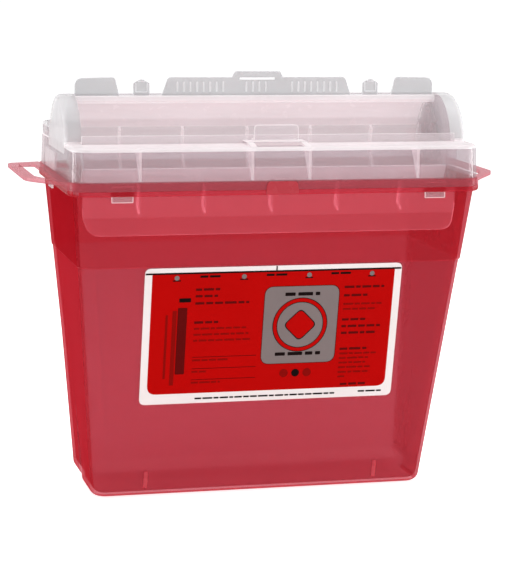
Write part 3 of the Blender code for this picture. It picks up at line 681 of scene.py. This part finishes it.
def build_tub():
    outer = wall_stack(0.0, 0.0, RIM_BOTTOM_Z - 0.0004)
    for inset, rise in ((0.0012, 0.0), (0.0004, 0.0004), (0.0001, 0.0010), (0.0, 0.0018)):
        outer.append((rim_outline(inset), RIM_BOTTOM_Z + rise))
    outer.append((rim_outline(0.0), RIM_BOTTOM_Z + 0.0032))
    for inset, drop in ((0.0, 0.0008), (0.0002, 0.0003), (0.0006, 0.0)):
        outer.append((rim_outline(inset), RIM_TOP_Z - drop))
    piece = new_object("tub_moulding", loft(outer), RED_BODY, RED_EDGE, RED_RIM, RED_SHADED_SIDE, RED_SHADE_LINE)
    join(piece, loft(column_stack(0.0, BASE_STEP_Z)))
    cut(piece, step_block(BASE_STEP_Y, BASE_STEP_Z))
    for side in (-1, 1):
        plate = prism(loop_outline(side), "Z", LOOP_TOP_Z - LOOP_THICKNESS, LOOP_TOP_Z, edge=0.0004)
        join(piece, plate)
        hole = prism(loop_hole_outline(side), "Z", LOOP_TOP_Z - 0.02, LOOP_TOP_Z + 0.02)
        cut(piece, hole)
    cavity = new_object("cavity", loft(wall_stack(TUB_WALL, TUB_FLOOR, RIM_TOP_Z + 0.004)))
    join(cavity, loft(column_stack(TUB_WALL, BASE_STEP_Z + TUB_FLOOR)))
    cut(cavity, step_block(BASE_STEP_Y - TUB_WALL, BASE_STEP_Z + TUB_FLOOR))
    cut(piece, take_mesh(cavity))
    cut_rim_channel(piece)
    for low, high in clip_slots():
        cut(piece, box(low, high))
    for x in (-FRONT_RIB_X, FRONT_RIB_X):
        join(piece, front_rib(x))
    finish_piece(piece, "container", 0.0, 35.0, tub_material)
    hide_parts("tub")
    return piece


def build_rim_tab():
    """Thicker thumb pad in the middle of the front rim."""
    points = (
        (-0.0105, RIM_BOTTOM_Z + 0.0004),
        (0.0105, RIM_BOTTOM_Z + 0.0004),
        (0.0098, RIM_TOP_Z),
        (-0.0098, RIM_TOP_Z),
    )
    outline = round_corners(points, (0.0010, 0.0010, 0.0030, 0.0030))
    bm = prism(outline, "Y", -RIM_HALF_Y, -RIM_HALF_Y + RIM_INSET + 0.0004, edge=0.0002)
    piece = new_object("rim_thumb_pad", bm, RED_EDGE)
    finish_piece(piece, "container")


# ------ lid housing

def lid_outline(z, inset):
    """Plan of the lid's skirt: it sits in the rim channel and leans in slightly upwards."""
    lean = 0.0008 * (z - SKIRT_BOTTOM_Z) / (SHELF_Z - SKIRT_BOTTOM_Z)
    reach = RIM_WALL + CLEARANCE + lean + inset
    half = RIM_HALF_X - reach
    depth = RIM_HALF_Y - reach
    return rounded_outline(half, half, -depth, depth, LID_CORNER - inset, LID_REAR_CORNER - inset)


def rear_box_outline(inset):
    """Plan of the raised part behind the hood: square at the hood, round at the rear corners."""
    half = RIM_HALF_X - RIM_WALL - CLEARANCE - 0.0010 - inset
    rear = RIM_HALF_Y - RIM_WALL - CLEARANCE - 0.0010 - inset
    points = ((-half, REAR_BOX_FRONT_Y), (half, REAR_BOX_FRONT_Y), (half, rear), (-half, rear))
    reach = LID_REAR_CORNER + 0.0015 - inset
    return round_corners(points, (0.0, 0.0, reach, reach), steps=8)


def dome_sections(radius, inner, outer, side, rounding):
    """Rings of a cheek's dome from its inner to its outer face, round towards the outer one."""
    sections = [(arc_points(radius, -10.0, 190.0, DOME_STEPS), side * inner)]
    for turn in quarter_turn(6):
        shrink = rounding * (1 - math.cos(turn))
        level = outer - rounding * (1 - math.sin(turn))
        sections.append((arc_points(radius - shrink, -10.0, 190.0, DOME_STEPS), side * level))
    return sections


def lid_material(centre, normal):
    """Webs, the shelf's top and other walls seen along their length look whiter, with painted glow, and a
    painted highlight on the shelf's top.
    """
    if abs(centre.x) > CHEEK_INNER_X + 0.0017 and centre.z > SHELF_Z + 0.0015:
        return LID_CHEEK
    at_front = centre.y < SHELF_REAR_Y + 0.004 and abs(centre.x) < CHEEK_INNER_X + 0.010
    # The shelf's top takes the whiter edge plastic: a painted highlight.
    if at_front and centre.z > SHELF_Z - 0.0026 and normal.z > 0.5:
        return LID_EDGE
    # The lip takes a whiter plastic with painted glow.
    if at_front and centre.z > SHELF_Z + 0.0002 and abs(normal.y) > 0.9:
        return LID_LIP
    on_web = near_any(abs(centre.x), GUSSET_STATIONS, 0.0012)
    return LID_EDGE if on_web and centre.z < SHELF_Z - LID_WALL and abs(normal.y) < 0.95 else None


def build_lid():
    top = [(lid_outline(SKIRT_BOTTOM_Z, 0.0), SKIRT_BOTTOM_Z)]
    shelf_edge = 0.0024
    for turn in quarter_turn(5):
        z = SHELF_Z - shelf_edge * (1 - math.sin(turn))
        top.append((lid_outline(z, shelf_edge * (1 - math.cos(turn))), z))
    piece = new_object("lid_moulding", loft(top), LID_BODY, LID_EDGE, LID_CHEEK, LID_LIP)
    for side in (-1, 1):
        cheek = dome_sections(DOME_RADIUS, 0.0, CHEEK_OUTER_X - 0.0006, side, 0.0034)
        join(piece, loft(cheek, "X"))
    rear_box = [(rear_box_outline(0.0), SHELF_Z - 0.004)]
    box_edge = 0.002
    for turn in quarter_turn(4):
        z = REAR_BOX_Z - box_edge * (1 - math.sin(turn))
        rear_box.append((rear_box_outline(box_edge * (1 - math.cos(turn))), z))
    join(piece, loft(rear_box))
    hollow_lid(piece)
    add_lip_and_bridge(piece)
    add_lid_details(piece)
    finish_piece(piece, "container", 0.0012, 30.0, lid_material)
    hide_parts("lid_housing")
    return piece


def hollow_lid(piece):
    """Takes out the inside of the skirt, the rear box, the hood and the cheeks."""
    inner = [
        (lid_outline(SKIRT_BOTTOM_Z, LID_WALL), SKIRT_BOTTOM_Z - 0.004),
        (lid_outline(SHELF_Z, LID_WALL), SHELF_Z - LID_WALL),
    ]
    cut(piece, loft(inner))
    hollow_outline = rear_box_outline(LID_WALL + 0.0010)
    rear_hollow = [(hollow_outline, SHELF_Z - 0.010), (hollow_outline, REAR_BOX_Z - LID_WALL)]
    cut(piece, loft(rear_hollow))
    dome_hollow = arc_points(DOME_RADIUS - 0.0015, -40.0, 220.0, 60)
    cut(piece, prism(dome_hollow, "X", -CHEEK_INNER_X, CHEEK_INNER_X))
    mouth = (
        (SHELF_REAR_Y + LID_WALL, SHELF_Z - 0.012),
        (SHELF_REAR_Y + LID_WALL, AXIS_Z + 0.060),
        (HOOD_EDGE_Y, AXIS_Z + 0.060),
        (HOOD_EDGE_Y, SHELF_Z - 0.012),
    )
    cut(piece, prism(mouth, "X", -CHEEK_INNER_X, CHEEK_INNER_X))
    for side in (-1, 1):
        pocket = dome_sections(
            DOME_RADIUS - 0.0018, CHEEK_INNER_X + 0.0017, CHEEK_OUTER_X - 0.0024, side, 0.0020
        )
        cut(piece, loft(pocket, "X"))


def add_lip_and_bridge(piece):
    """Adds the upright lip behind the shelf, and the raised bridge that carries the latch."""
    lip = box(
        (-CHEEK_INNER_X - 0.001, SHELF_REAR_Y, SHELF_Z - 0.0010),
        (CHEEK_INNER_X + 0.001, SHELF_REAR_Y + LID_WALL, SHELF_LIP_Z),
        edge=0.0003,
    )
    join(piece, lip)
    bridge = box(
        (-BRIDGE_HALF_WIDTH, BRIDGE_FRONT_Y, SHELF_Z - 0.0010),
        (BRIDGE_HALF_WIDTH, SHELF_REAR_Y + LID_WALL / 2, BRIDGE_Z),
        edge=0.0004,
    )
    join(piece, bridge)
    for side in (-1, 1):
        leg = (
            (BRIDGE_FRONT_Y + 0.0010, SHELF_Z - 0.0010),
            (BRIDGE_FRONT_Y + 0.0010, BRIDGE_Z - 0.0001),
            (-RIM_HALF_Y + 0.0050, SHELF_Z + 0.0003),
            (-RIM_HALF_Y + 0.0050, SHELF_Z - 0.0010),
        )
        x_low, x_high = on_side(side, SLOT_HALF_WIDTH + 0.0004, BRIDGE_HALF_WIDTH - 0.0002)
        join(piece, prism(leg, "X", x_low, x_high, edge=0.0003))
    slot = box(
        (-SLOT_HALF_WIDTH, SLOT_FRONT_Y, SHELF_Z - 0.0040),
        (SLOT_HALF_WIDTH, BRIDGE_FRONT_Y - 0.0010, SHELF_Z + 0.0020),
    )
    cut(piece, slot)


def add_lid_details(piece):
    """Adds the clips that hook under the rim and the gussets that hold up the shelf."""
    half = CLIP_WIDTH / 2
    clip_low = LID_LOW.z
    clip_high = SKIRT_BOTTOM_Z + 0.003
    for side in (-1, 1):
        for front in (-1, 1):
            y_out = front * (RIM_HALF_Y - RIM_WALL - CLEARANCE)
            y_low, y_high = sorted((y_out, y_out - front * CLIP_THICKNESS))
            x = side * CLIP_X
            join(piece, box((x - half, y_low, clip_low), (x + half, y_high, clip_high), 0.0003))
        x_out = RIM_HALF_X - RIM_WALL - CLEARANCE
        x_low, x_high = on_side(side, x_out, x_out - CLIP_THICKNESS)
        low = (x_low, SIDE_CLIP_Y - half, clip_low)
        join(piece, box(low, (x_high, SIDE_CLIP_Y + half, clip_high), 0.0003))
        for x in GUSSET_STATIONS:
            front = -RIM_HALF_Y + RIM_WALL + CLEARANCE + LID_WALL / 2
            gusset = (
                (front, RIM_TOP_Z + 0.0005),
                (front + 0.0012, RIM_TOP_Z + 0.0005),
                (front + GUSSET_DEPTH, SHELF_Z - LID_WALL / 2),
                (front, SHELF_Z - LID_WALL / 2),
            )
            join(piece, prism(gusset, "X", side * x - 0.0009, side * x + 0.0009))


def build_side_pads():
    """Raised pads on the lid's sides, above the side clips."""
    for name, side in (("side_pad_left", -1), ("side_pad_right", 1)):
        points = [(y, SIDE_PAD_Z[0]) for y in SIDE_PAD_Y] + [(y, SIDE_PAD_Z[1]) for y in reversed(SIDE_PAD_Y)]
        outline = round_corners(points, (0.0015, 0.0015, 0.0030, 0.0030))
        x_low, x_high = on_side(side, CHEEK_OUTER_X - 0.0012, CHEEK_OUTER_X + 0.0004)
        piece = new_object(name, prism(outline, "X", x_low, x_high, edge=0.0003), LID_LIP)
        finish_piece(piece, "container")


# ------ moving pieces

def tray_material(centre, normal):
    return TRAY_EDGE if near_any(centre.x, RIB_STATIONS, 0.0012) else None


def build_tray():
    shell = arc_points(TRAY_RADIUS, TRAY_LIP_ANGLE, TRAY_TOP_ANGLE, TRAY_STEPS)
    shell += reversed(arc_points(TRAY_RADIUS - TRAY_WALL, TRAY_LIP_ANGLE, TRAY_TOP_ANGLE, TRAY_STEPS))
    trough = prism(shell, "X", -TRAY_HALF_LENGTH, TRAY_HALF_LENGTH)
    piece = new_object("tray_moulding", trough, TRAY_BODY, TRAY_EDGE)
    end_plate = arc_points(TRAY_RADIUS - TRAY_WALL / 2, TRAY_LIP_ANGLE, TRAY_TOP_ANGLE, TRAY_STEPS)
    for side in (-1, 1):
        x_low, x_high = on_side(side, TRAY_HALF_LENGTH - TRAY_END_WALL, TRAY_HALF_LENGTH)
        join(piece, prism(end_plate, "X", x_low, x_high))
        x_low, x_high = on_side(side, TRAY_HALF_LENGTH - 0.001, CHEEK_INNER_X + 0.0030)
        join(piece, prism(circle(AXIS_Y, AXIS_Z, AXLE_RADIUS), "X", x_low, x_high))
    for x in RIB_STATIONS:
        rib = arc_points(TRAY_RADIUS - TRAY_WALL / 2, -150.0, 20.0, 48)
        rib += reversed(arc_points(TRAY_RADIUS - TRAY_WALL - 0.0030, -146.0, 16.0, 48))
        join(piece, prism(rib, "X", x - RIB_HALF_WIDTH, x + RIB_HALF_WIDTH))
    low_z = BEAD_BOTTOM_Z - 0.0010
    high_z = FLAP_ROOT_Z - CLEARANCE
    foot = (
        (FLAP_Y - 0.0030, high_z - 0.0002),
        (FLAP_Y - 0.0030, low_z),
        (FLAP_Y + 0.0060, low_z),
        (FLAP_Y + 0.0060, high_z),
        (FLAP_Y - 0.0010, high_z),
    )
    join(piece, prism(foot, "X", -TRAY_HALF_LENGTH + 0.0002, TRAY_HALF_LENGTH - 0.0002))
    front_y = FLAP_Y - BEAD_DEPTH
    bead = (
        (front_y, BEAD_BOTTOM_Z),
        (FLAP_Y - CLEARANCE, BEAD_BOTTOM_Z),
        (FLAP_Y - CLEARANCE, BEAD_TOP_Z),
        (front_y, BEAD_TOP_Z),
    )
    bead = round_corners(bead, (0.0008, 0.0, 0.0010, 0.0010), steps=5)
    join(piece, prism(bead, "X", -TRAY_HALF_LENGTH, TRAY_HALF_LENGTH))
    finish_piece(piece, "tray", 0.0009, 32.0, tray_material)
    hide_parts("drop_tray")


def flap_outline():
    """Comb of the pull flap, seen from the front: two wings, two arrow posts, panel and tab."""
    shoulder_z = FLAP_TOP_Z - 0.0038
    tab_half = 0.0151
    panel_half = 0.0590
    wing_inner = 0.0932
    half = (
        (tab_half, FLAP_HIGH.z),
        (tab_half + 0.0019, FLAP_TOP_Z),
        (panel_half, FLAP_TOP_Z),
        (panel_half + 0.0040, COMB_ROOT_Z),
        (POST_X - POST_HALF_WIDTH, COMB_ROOT_Z),
        (POST_X - POST_HALF_WIDTH, shoulder_z),
        (POST_X, FLAP_TOP_Z - 0.0008),
        (POST_X + POST_HALF_WIDTH, shoulder_z),
        (POST_X + POST_HALF_WIDTH, COMB_ROOT_Z),
        (wing_inner - 0.0027, COMB_ROOT_Z),
        (wing_inner, FLAP_TOP_Z),
        (FLAP_HIGH.x, FLAP_TOP_Z - 0.0005),
        (FLAP_HIGH.x, FLAP_ROOT_Z),
    )
    reach = (0.0015, 0.0, 0.0022, 0.0, 0.0, 0.0008, 0.0022, 0.0008, 0.0, 0.0, 0.0022, 0.0050, 0.0)
    left = [(-x, z) for x, z in reversed(half)]
    return round_corners(list(half) + left, list(reach) + list(reversed(reach)))


def build_flap():
    sheet = prism(flap_outline(), "Y", FLAP_Y, FLAP_Y + FLAP_THICKNESS, edge=0.00035)
    piece = new_object("flap_moulding", sheet, FLAP_BODY, FLAP_EDGE)
    slot = box((-0.0118, FLAP_Y - 0.01, 0.2670), (0.0118, FLAP_Y + 0.01, 0.2684))
    cut(piece, slot)
    finish_piece(piece, "tray", 0.0008, 32.0)
    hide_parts("pull_flap")


def raised_bar(bm, x_low, x_high, z_low, z_high):
    """Adds one softly rounded raised bar to the front of the flap."""
    reach = min(x_high - x_low, z_high - z_low) * 0.45
    corners = ((x_low, z_low), (x_high, z_low), (x_high, z_high), (x_low, z_high))
    outline = round_corners(corners, (reach,) * 4, steps=4)
    bar = prism(outline, "Y", FLAP_Y - FLAP_MARK_DEPTH, FLAP_Y + 0.0002, edge=0.0001)
    mesh = bpy.data.meshes.new("bar")
    bar.to_mesh(mesh)
    bar.free()
    bm.from_mesh(mesh)
    bpy.data.meshes.remove(mesh)


def build_flap_marks():
    """Raised strokes across the flap's panel, and a raised frame on each arrow post."""
    bm = bmesh.new()
    low_z = 0.2592
    high_z = 0.2660
    for start_x, count in ((-0.0535, 8), (-0.0080, 4), (0.0225, 8)):
        for i in range(count):
            x = start_x + i * FLAP_MARK_PITCH
            raised_bar(bm, x, x + FLAP_MARK_WIDTH, low_z, high_z)
    for side in (-1, 1):
        x = side * POST_X
        low = COMB_ROOT_Z + 0.0016
        raised_bar(bm, x - 0.0040, x + 0.0040, low, low + 0.0007)
        raised_bar(bm, x - 0.0040, x - 0.0033, low, low + 0.0060)
        raised_bar(bm, x + 0.0033, x + 0.0040, low, low + 0.0060)
        raised_bar(bm, x - 0.0026, x + 0.0026, low + 0.0066, low + 0.0073)
    piece = new_object("flap_raised_strokes", bm, FLAP_EDGE)
    finish_piece(piece, "tray")


def build_latch():
    foot_z = LATCH_LOW.z
    half = LATCH_HIGH.x
    corners = ((-half, foot_z), (half, foot_z), (half, LATCH_HIGH.z), (-half, LATCH_HIGH.z))
    face = round_corners(corners, (0.0, 0.0, 0.0030, 0.0030), steps=8)
    plate = prism(face, "Y", LATCH_LOW.y, LATCH_LOW.y + 0.0013, edge=0.0003)
    piece = new_object("latch_moulding", plate, LATCH_BODY, LID_EDGE)
    web = (
        (LATCH_LOW.y + 0.0006, foot_z),
        (LATCH_HIGH.y, foot_z),
        (LATCH_HIGH.y, foot_z + 0.0010),
        (LATCH_LOW.y + 0.0013, LATCH_HIGH.z - 0.0030),
        (LATCH_LOW.y + 0.0006, LATCH_HIGH.z - 0.0030),
    )
    for side in (-1, 1):
        x_low, x_high = on_side(side, half - 0.0002, half - 0.0015)
        join(piece, prism(web, "X", x_low, x_high))
    finish_piece(piece, "latch", 0.0009, 32.0)
    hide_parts("finger_latch")


def baffle_material(centre, normal):
    """The part behind the rim and the lid doesn't glow, and the part below the fold glows less."""
    if centre.z > RIM_BOTTOM_Z:
        return BAFFLE_TOP
    return BAFFLE_FOOT if centre.z < BAFFLE_FOLD_Z and abs(normal.y) > 0.9 else None


def build_baffle():
    half = BAFFLE_HIGH.x
    bottom_half = half - 0.0035
    points = (
        (-half, BAFFLE_HIGH.z),
        (-half, BAFFLE_FOLD_Z + 0.002),
        (-bottom_half, BAFFLE_LOW.z),
        (bottom_half, BAFFLE_LOW.z),
        (half, BAFFLE_FOLD_Z + 0.002),
        (half, BAFFLE_HIGH.z),
    )
    outline = round_corners(points, (0.0, 0.004, 0.007, 0.007, 0.004, 0.0), steps=8)
    block = prism(outline, "Y", -TOOL_REAR_Y, 0.0)
    piece = new_object("baffle_moulding", block, BAFFLE_BODY, BAFFLE_EDGE, BAFFLE_TOP, BAFFLE_FOOT)
    thick = BAFFLE_THICKNESS / 2
    split = (RIM_BOTTOM_Z - BAFFLE_FOLD_Z) / (BAFFLE_HIGH.z - BAFFLE_FOLD_Z)
    stations = (
        (BAFFLE_TOP_Y, BAFFLE_HIGH.z + 0.001),
        (mix(BAFFLE_FOLD_Y, BAFFLE_TOP_Y, split), RIM_BOTTOM_Z),
        (BAFFLE_FOLD_Y, BAFFLE_FOLD_Z),
        (BAFFLE_BOTTOM_Y, BAFFLE_LOW.z - 0.001),
    )
    profile = [(y - thick, z) for y, z in stations] + [(y + thick, z) for y, z in reversed(stations)]
    combine(piece, prism(profile, "X", -0.13, 0.13), "INTERSECT")
    for x in RIB_STATIONS:
        gusset = (
            (BAFFLE_FOLD_Y, 0.2080),
            (BAFFLE_FOLD_Y + 0.0035, 0.2050),
            (BAFFLE_FOLD_Y + 0.0080, BAFFLE_FOLD_Z + 0.0060),
            (BAFFLE_FOLD_Y, BAFFLE_FOLD_Z + 0.0020),
        )
        join(piece, prism(gusset, "X", x - RIB_HALF_WIDTH, x + RIB_HALF_WIDTH))
    finish_piece(piece, "container", 0.0016, 25.0, baffle_material)
    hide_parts("front_baffle")


# ------ label

LABEL_HALF = LABEL_HIGH.x
LABEL_HEIGHT = LABEL_HIGH.z - LABEL_LOW.z
LAYER = 0.00004
CARD_FACE = 0.00050
MARK_SHARES = (0.122, 0.380, 0.634, 0.882)
LEFT_COLUMN = 0.197
RIGHT_COLUMN = 0.777


def label_x(share):
    """From 0 at the label's left edge to 1 at its right edge."""
    return mix(-LABEL_HALF, LABEL_HALF, share)


def label_z(share):
    """From 0 at the label's top edge to 1 at its bottom edge."""
    return LABEL_HIGH.z - LABEL_HEIGHT * share


def add_sheet(bm, outline, inner_gap, outer_gap):
    """Adds a thin closed sheet that lies parallel to the sloping front wall."""
    near = [bm.verts.new((x, front_wall_y(z) - inner_gap, z)) for x, z in outline]
    far = [bm.verts.new((x, front_wall_y(z) - outer_gap, z)) for x, z in outline]
    count = len(outline)
    bm.faces.new(near)
    bm.faces.new(list(reversed(far)))
    for i in range(count):
        bm.faces.new((near[i], far[i], far[(i + 1) % count], near[(i + 1) % count]))


def bar_outline(left, right, top, bottom, reach=0.0):
    corners = ((left, bottom), (right, bottom), (right, top), (left, top))
    return round_corners(corners, (reach,) * 4, steps=6) if reach else list(corners)


def share_bar(left, right, top, bottom, reach=0.0):
    return bar_outline(label_x(left), label_x(right), label_z(top), label_z(bottom), reach)


def label_layer(name, outlines, material, level):
    """One print layer of the label: closed sheets, level layers above the card."""
    bm = bmesh.new()
    base = CARD_FACE + LAYER * level
    for outline in outlines:
        add_sheet(bm, outline, base - LAYER * 0.8, base + LAYER * 0.15)
    piece = new_object(name, bm, material)
    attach(piece, "container")
    return piece


WORD_LENGTHS = (0.0042, 0.0061, 0.0031, 0.0052, 0.0024, 0.0047, 0.0036)


def print_line(left, right, share, height, first=0):
    """Bars of word length along one line of the label's generic print."""
    outlines = []
    x = label_x(left)
    end = label_x(right)
    middle = label_z(share)
    gap = height * 0.42
    index = first
    while x < end - 0.0012:
        length = WORD_LENGTHS[index % len(WORD_LENGTHS)] * (0.55 + height / 0.0040)
        stop = min(x + length, end)
        outlines.append(bar_outline(x, stop, middle + height * 0.27, middle - height * 0.27, height * 0.12))
        x = stop + gap
        index += 1
    return outlines


def print_column(start, height, rows):
    """Lines of print from one left edge; a row gives where its line stops and how far down it is."""
    outlines = []
    for stop, share in rows:
        outlines += print_line(start, stop, share, height, first=int(share * 100))
    return outlines


def build_label():
    card = bmesh.new()
    edge = 0.0040
    card_outline = bar_outline(-LABEL_HALF, LABEL_HALF, LABEL_HIGH.z, LABEL_LOW.z, edge)
    add_sheet(card, card_outline, CLEARANCE, CARD_FACE)
    piece = new_object("label_card", card, CARD)
    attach(piece, "container")
    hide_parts("front_label")

    left = label_x(0.028)
    right = label_x(0.972)
    field = round_corners(
        ((left, label_z(0.925)), (right, label_z(0.925)), (right, label_z(0.045)), (left, label_z(0.045))),
        (0.0060, 0.0060, 0.0, 0.0),
    )
    label_layer("label_field", [field], CARD_RED, 1)

    fill_line = bar_outline(-LABEL_HALF + 0.0004, LABEL_HALF - 0.0004, label_z(0.034), label_z(0.046))
    tick = bar_outline(label_x(0.505) - 0.0004, label_x(0.505) + 0.0004, label_z(0.002), label_z(0.036))
    marks = [fill_line, tick]
    for share in MARK_SHARES:
        middle = label_x(share)
        marks.append(bar_outline(middle - 0.0025, middle + 0.0025, label_z(0.088), label_z(0.097)))
    for start, stop in ((0.211, 0.288), (0.467, 0.547), (0.720, 0.797)):
        marks += print_line(start, stop, 0.066, 0.0026)
    for start, stop, share in ((0.545, 0.682, 0.212), (0.520, 0.700, 0.655)):
        marks += print_line(start, stop, share, 0.0042)
    marks += print_line(0.135, 0.182, 0.235, 0.0050)
    marks += print_line(0.215, 0.770, 0.966, 0.0020)
    marks += print_line(0.865, 0.968, 0.960, 0.0020)
    label_layer("label_black_print", marks, CARD_BLACK, 3)

    panel = share_bar(0.466, 0.757, 0.155, 0.725, 0.0058)
    border = share_bar(0.463, 0.760, 0.150, 0.730, 0.0062)
    label_layer("label_panel_border", [border], CARD_DARK_RED, 1.6)
    label_layer("label_panel", [panel], CARD_GREY, 2)
    build_emblem()
    build_label_text()


def diamond(x, z, reach):
    corners = ((x, z - reach), (x + reach, z), (x, z + reach), (x - reach, z))
    return round_corners(corners, (reach * 0.3,) * 4, steps=4)


def build_emblem():
    """Plain emblem on the grey panel: a thin ring round a diamond."""
    x = label_x(0.611)
    z = label_z(0.440)
    shapes = (
        ("emblem_outline", circle(x, z, 0.0182, 64), CARD_BLACK, 3.0),
        ("emblem_ring", circle(x, z, 0.0177, 64), CARD_RED, 3.4),
        ("emblem_ring_inside", circle(x, z, 0.0155, 64), CARD_BLACK, 3.8),
        ("emblem_gap", circle(x, z, 0.0150, 64), CARD_GREY, 4.2),
        ("emblem_diamond_outline", diamond(x, z, 0.0112), CARD_BLACK, 4.6),
        ("emblem_diamond", diamond(x, z, 0.0103), CARD_RED, 5.0),
    )
    for name, outline, material, level in shapes:
        label_layer(name, [outline], material, level)
    dots = [circle(label_x(share), label_z(0.073), 0.0016, 12) for share in MARK_SHARES]
    label_layer("label_marks", dots, CARD_GREY, 4)


def build_label_text():
    """Generic print on the red field: bars for lines, no letters."""
    bold = print_column(LEFT_COLUMN, 0.0028, (
        (0.290, 0.160), (0.283, 0.208), (0.406, 0.260), (0.290, 0.400),
    ))
    bold += print_column(RIGHT_COLUMN, 0.0028, (
        (0.935, 0.170), (0.872, 0.232), (0.870, 0.412), (0.932, 0.462), (0.915, 0.512), (0.885, 0.632),
    ))
    bold += print_column(0.790, 0.0028, ((0.892, 0.900),))
    for share in (0.655, 0.740, 0.822):
        bold.append(share_bar(LEFT_COLUMN, 0.447, share, share + 0.004))
    word = share_bar(0.132, 0.168, 0.290, 0.780, 0.0008)
    bold.append(word)
    label_layer("label_dark_print", bold, CARD_DARK_RED, 3)

    faint = print_column(LEFT_COLUMN, 0.0022, (
        (0.400, 0.446), (0.410, 0.490), (0.418, 0.534), (0.335, 0.680), (0.265, 0.765), (0.310, 0.846),
    ))
    faint += print_column(RIGHT_COLUMN, 0.0022, (
        (0.930, 0.296), (0.905, 0.334), (0.925, 0.668), (0.895, 0.702),
        (0.885, 0.737), (0.905, 0.772), (0.900, 0.808), (0.815, 0.842),
    ))
    faint.append(share_bar(0.112, 0.128, 0.310, 0.860))
    faint.append(share_bar(0.086, 0.095, 0.340, 0.810))
    for share in (0.560, 0.652):
        faint.append(circle(label_x(share), label_z(0.800), 0.0028, 24))
    label_layer("label_faint_print", faint, CARD_FAINT_RED, 3)
    label_layer("label_middle_dot", [circle(label_x(0.606), label_z(0.800), 0.0026, 24)], CARD_BLACK, 3.5)


# ------ floor, light and camera

def build_floor():
    bm = bmesh.new()
    bmesh.ops.create_grid(bm, x_segments=4, y_segments=4, size=6.0)
    floor = new_object("floor", bm)
    floor.location.z = -0.0002
    mat = bpy.data.materials.new("floor_pale")
    mat.use_nodes = True
    shader = mat.node_tree.nodes["Principled BSDF"]
    shader.inputs["Base Color"].default_value = (0.93, 0.93, 0.93, 1.0)
    shader.inputs["Roughness"].default_value = 0.9
    shader.inputs["Specular IOR Level"].default_value = 0.1
    shader.inputs["Emission Color"].default_value = (1.0, 1.0, 1.0, 1.0)
    shader.inputs["Emission Strength"].default_value = 0.78
    floor.data.materials.append(mat)
    floor.visible_glossy = False


def area_light(name, place_at, aim_at, width, height, watts):
    data = bpy.data.lights.new(name, "AREA")
    data.shape = "RECTANGLE"
    data.size = width
    data.size_y = height
    data.energy = watts
    light = bpy.data.objects.new(name, data)
    light.location = place_at
    light.rotation_euler = (Vector(aim_at) - Vector(place_at)).to_track_quat("-Z", "Y").to_euler()
    bpy.context.scene.collection.objects.link(light)


# Strength of the white studio as it lights the object, as it is mirrored, and as the backdrop.
SURROUND_STRENGTH = 0.32
MIRRORED_STRENGTH = 0.46
BACKDROP_STRENGTH = 1.05


def white_background(item, strength):
    item.inputs["Color"].default_value = (1.0, 1.0, 1.0, 1.0)
    item.inputs["Strength"].default_value = strength
    return item.outputs["Background"]


def build_lights():
    centre = (0.0, 0.0, 0.15)
    area_light("top_softbox", (0.05, 0.10, 1.5), centre, 1.6, 1.2, 13.0)
    area_light("front_softbox", (0.5, -1.5, 0.9), centre, 1.0, 1.0, 2.5)
    area_light("left_strip", (-0.95, 0.33, 0.35), centre, 0.20, 0.9, 4.0)
    area_light("right_strip", (1.00, -0.15, 0.35), centre, 0.20, 0.9, 4.0)
    world = bpy.data.worlds.new("studio")
    bpy.context.scene.world = world
    world.use_nodes = True
    tree = world.node_tree
    surround = white_background(tree.nodes["Background"], SURROUND_STRENGTH)
    mirrored = white_background(node(tree, "ShaderNodeBackground"), MIRRORED_STRENGTH)
    backdrop = white_background(node(tree, "ShaderNodeBackground"), BACKDROP_STRENGTH)
    seen = node(tree, "ShaderNodeLightPath")
    indirect = mix_shaders(tree, seen.outputs["Is Glossy Ray"], surround, mirrored)
    world_out = mix_shaders(tree, seen.outputs["Is Camera Ray"], indirect, backdrop)
    tree.links.new(world_out, tree.nodes["World Output"].inputs["Surface"])


def build_camera():
    """Looks at the object from the left and slightly above, with a small roll."""
    azimuth = math.radians(-14.72)
    elevation = math.radians(9.55)
    roll = math.radians(0.93)
    distance = 1.3748
    target = Vector((0.0048, -0.0030, 0.1343))
    level = math.cos(elevation)
    back = Vector((math.sin(azimuth) * level, -math.cos(azimuth) * level, math.sin(elevation)))
    data = bpy.data.cameras.new("camera")
    data.sensor_width = 36.0
    data.lens = 133.5
    data.clip_start = 0.05
    data.clip_end = 30.0
    camera = bpy.data.objects.new("camera", data)
    camera.location = target + back * distance
    camera.rotation_euler = back.to_track_quat("Z", "Y").to_euler()
    camera.rotation_euler.rotate_axis("Z", roll)
    bpy.context.scene.collection.objects.link(camera)
    bpy.context.scene.camera = camera


build_tub()
build_rim_tab()
build_lid()
build_side_pads()
build_tray()
build_flap()
build_flap_marks()
build_latch()
build_baffle()
build_label()
build_floor()
build_lights()
build_camera()

scene = bpy.context.scene
scene.cycles.transparent_max_bounces = 40
scene.view_settings.view_transform = "Standard"
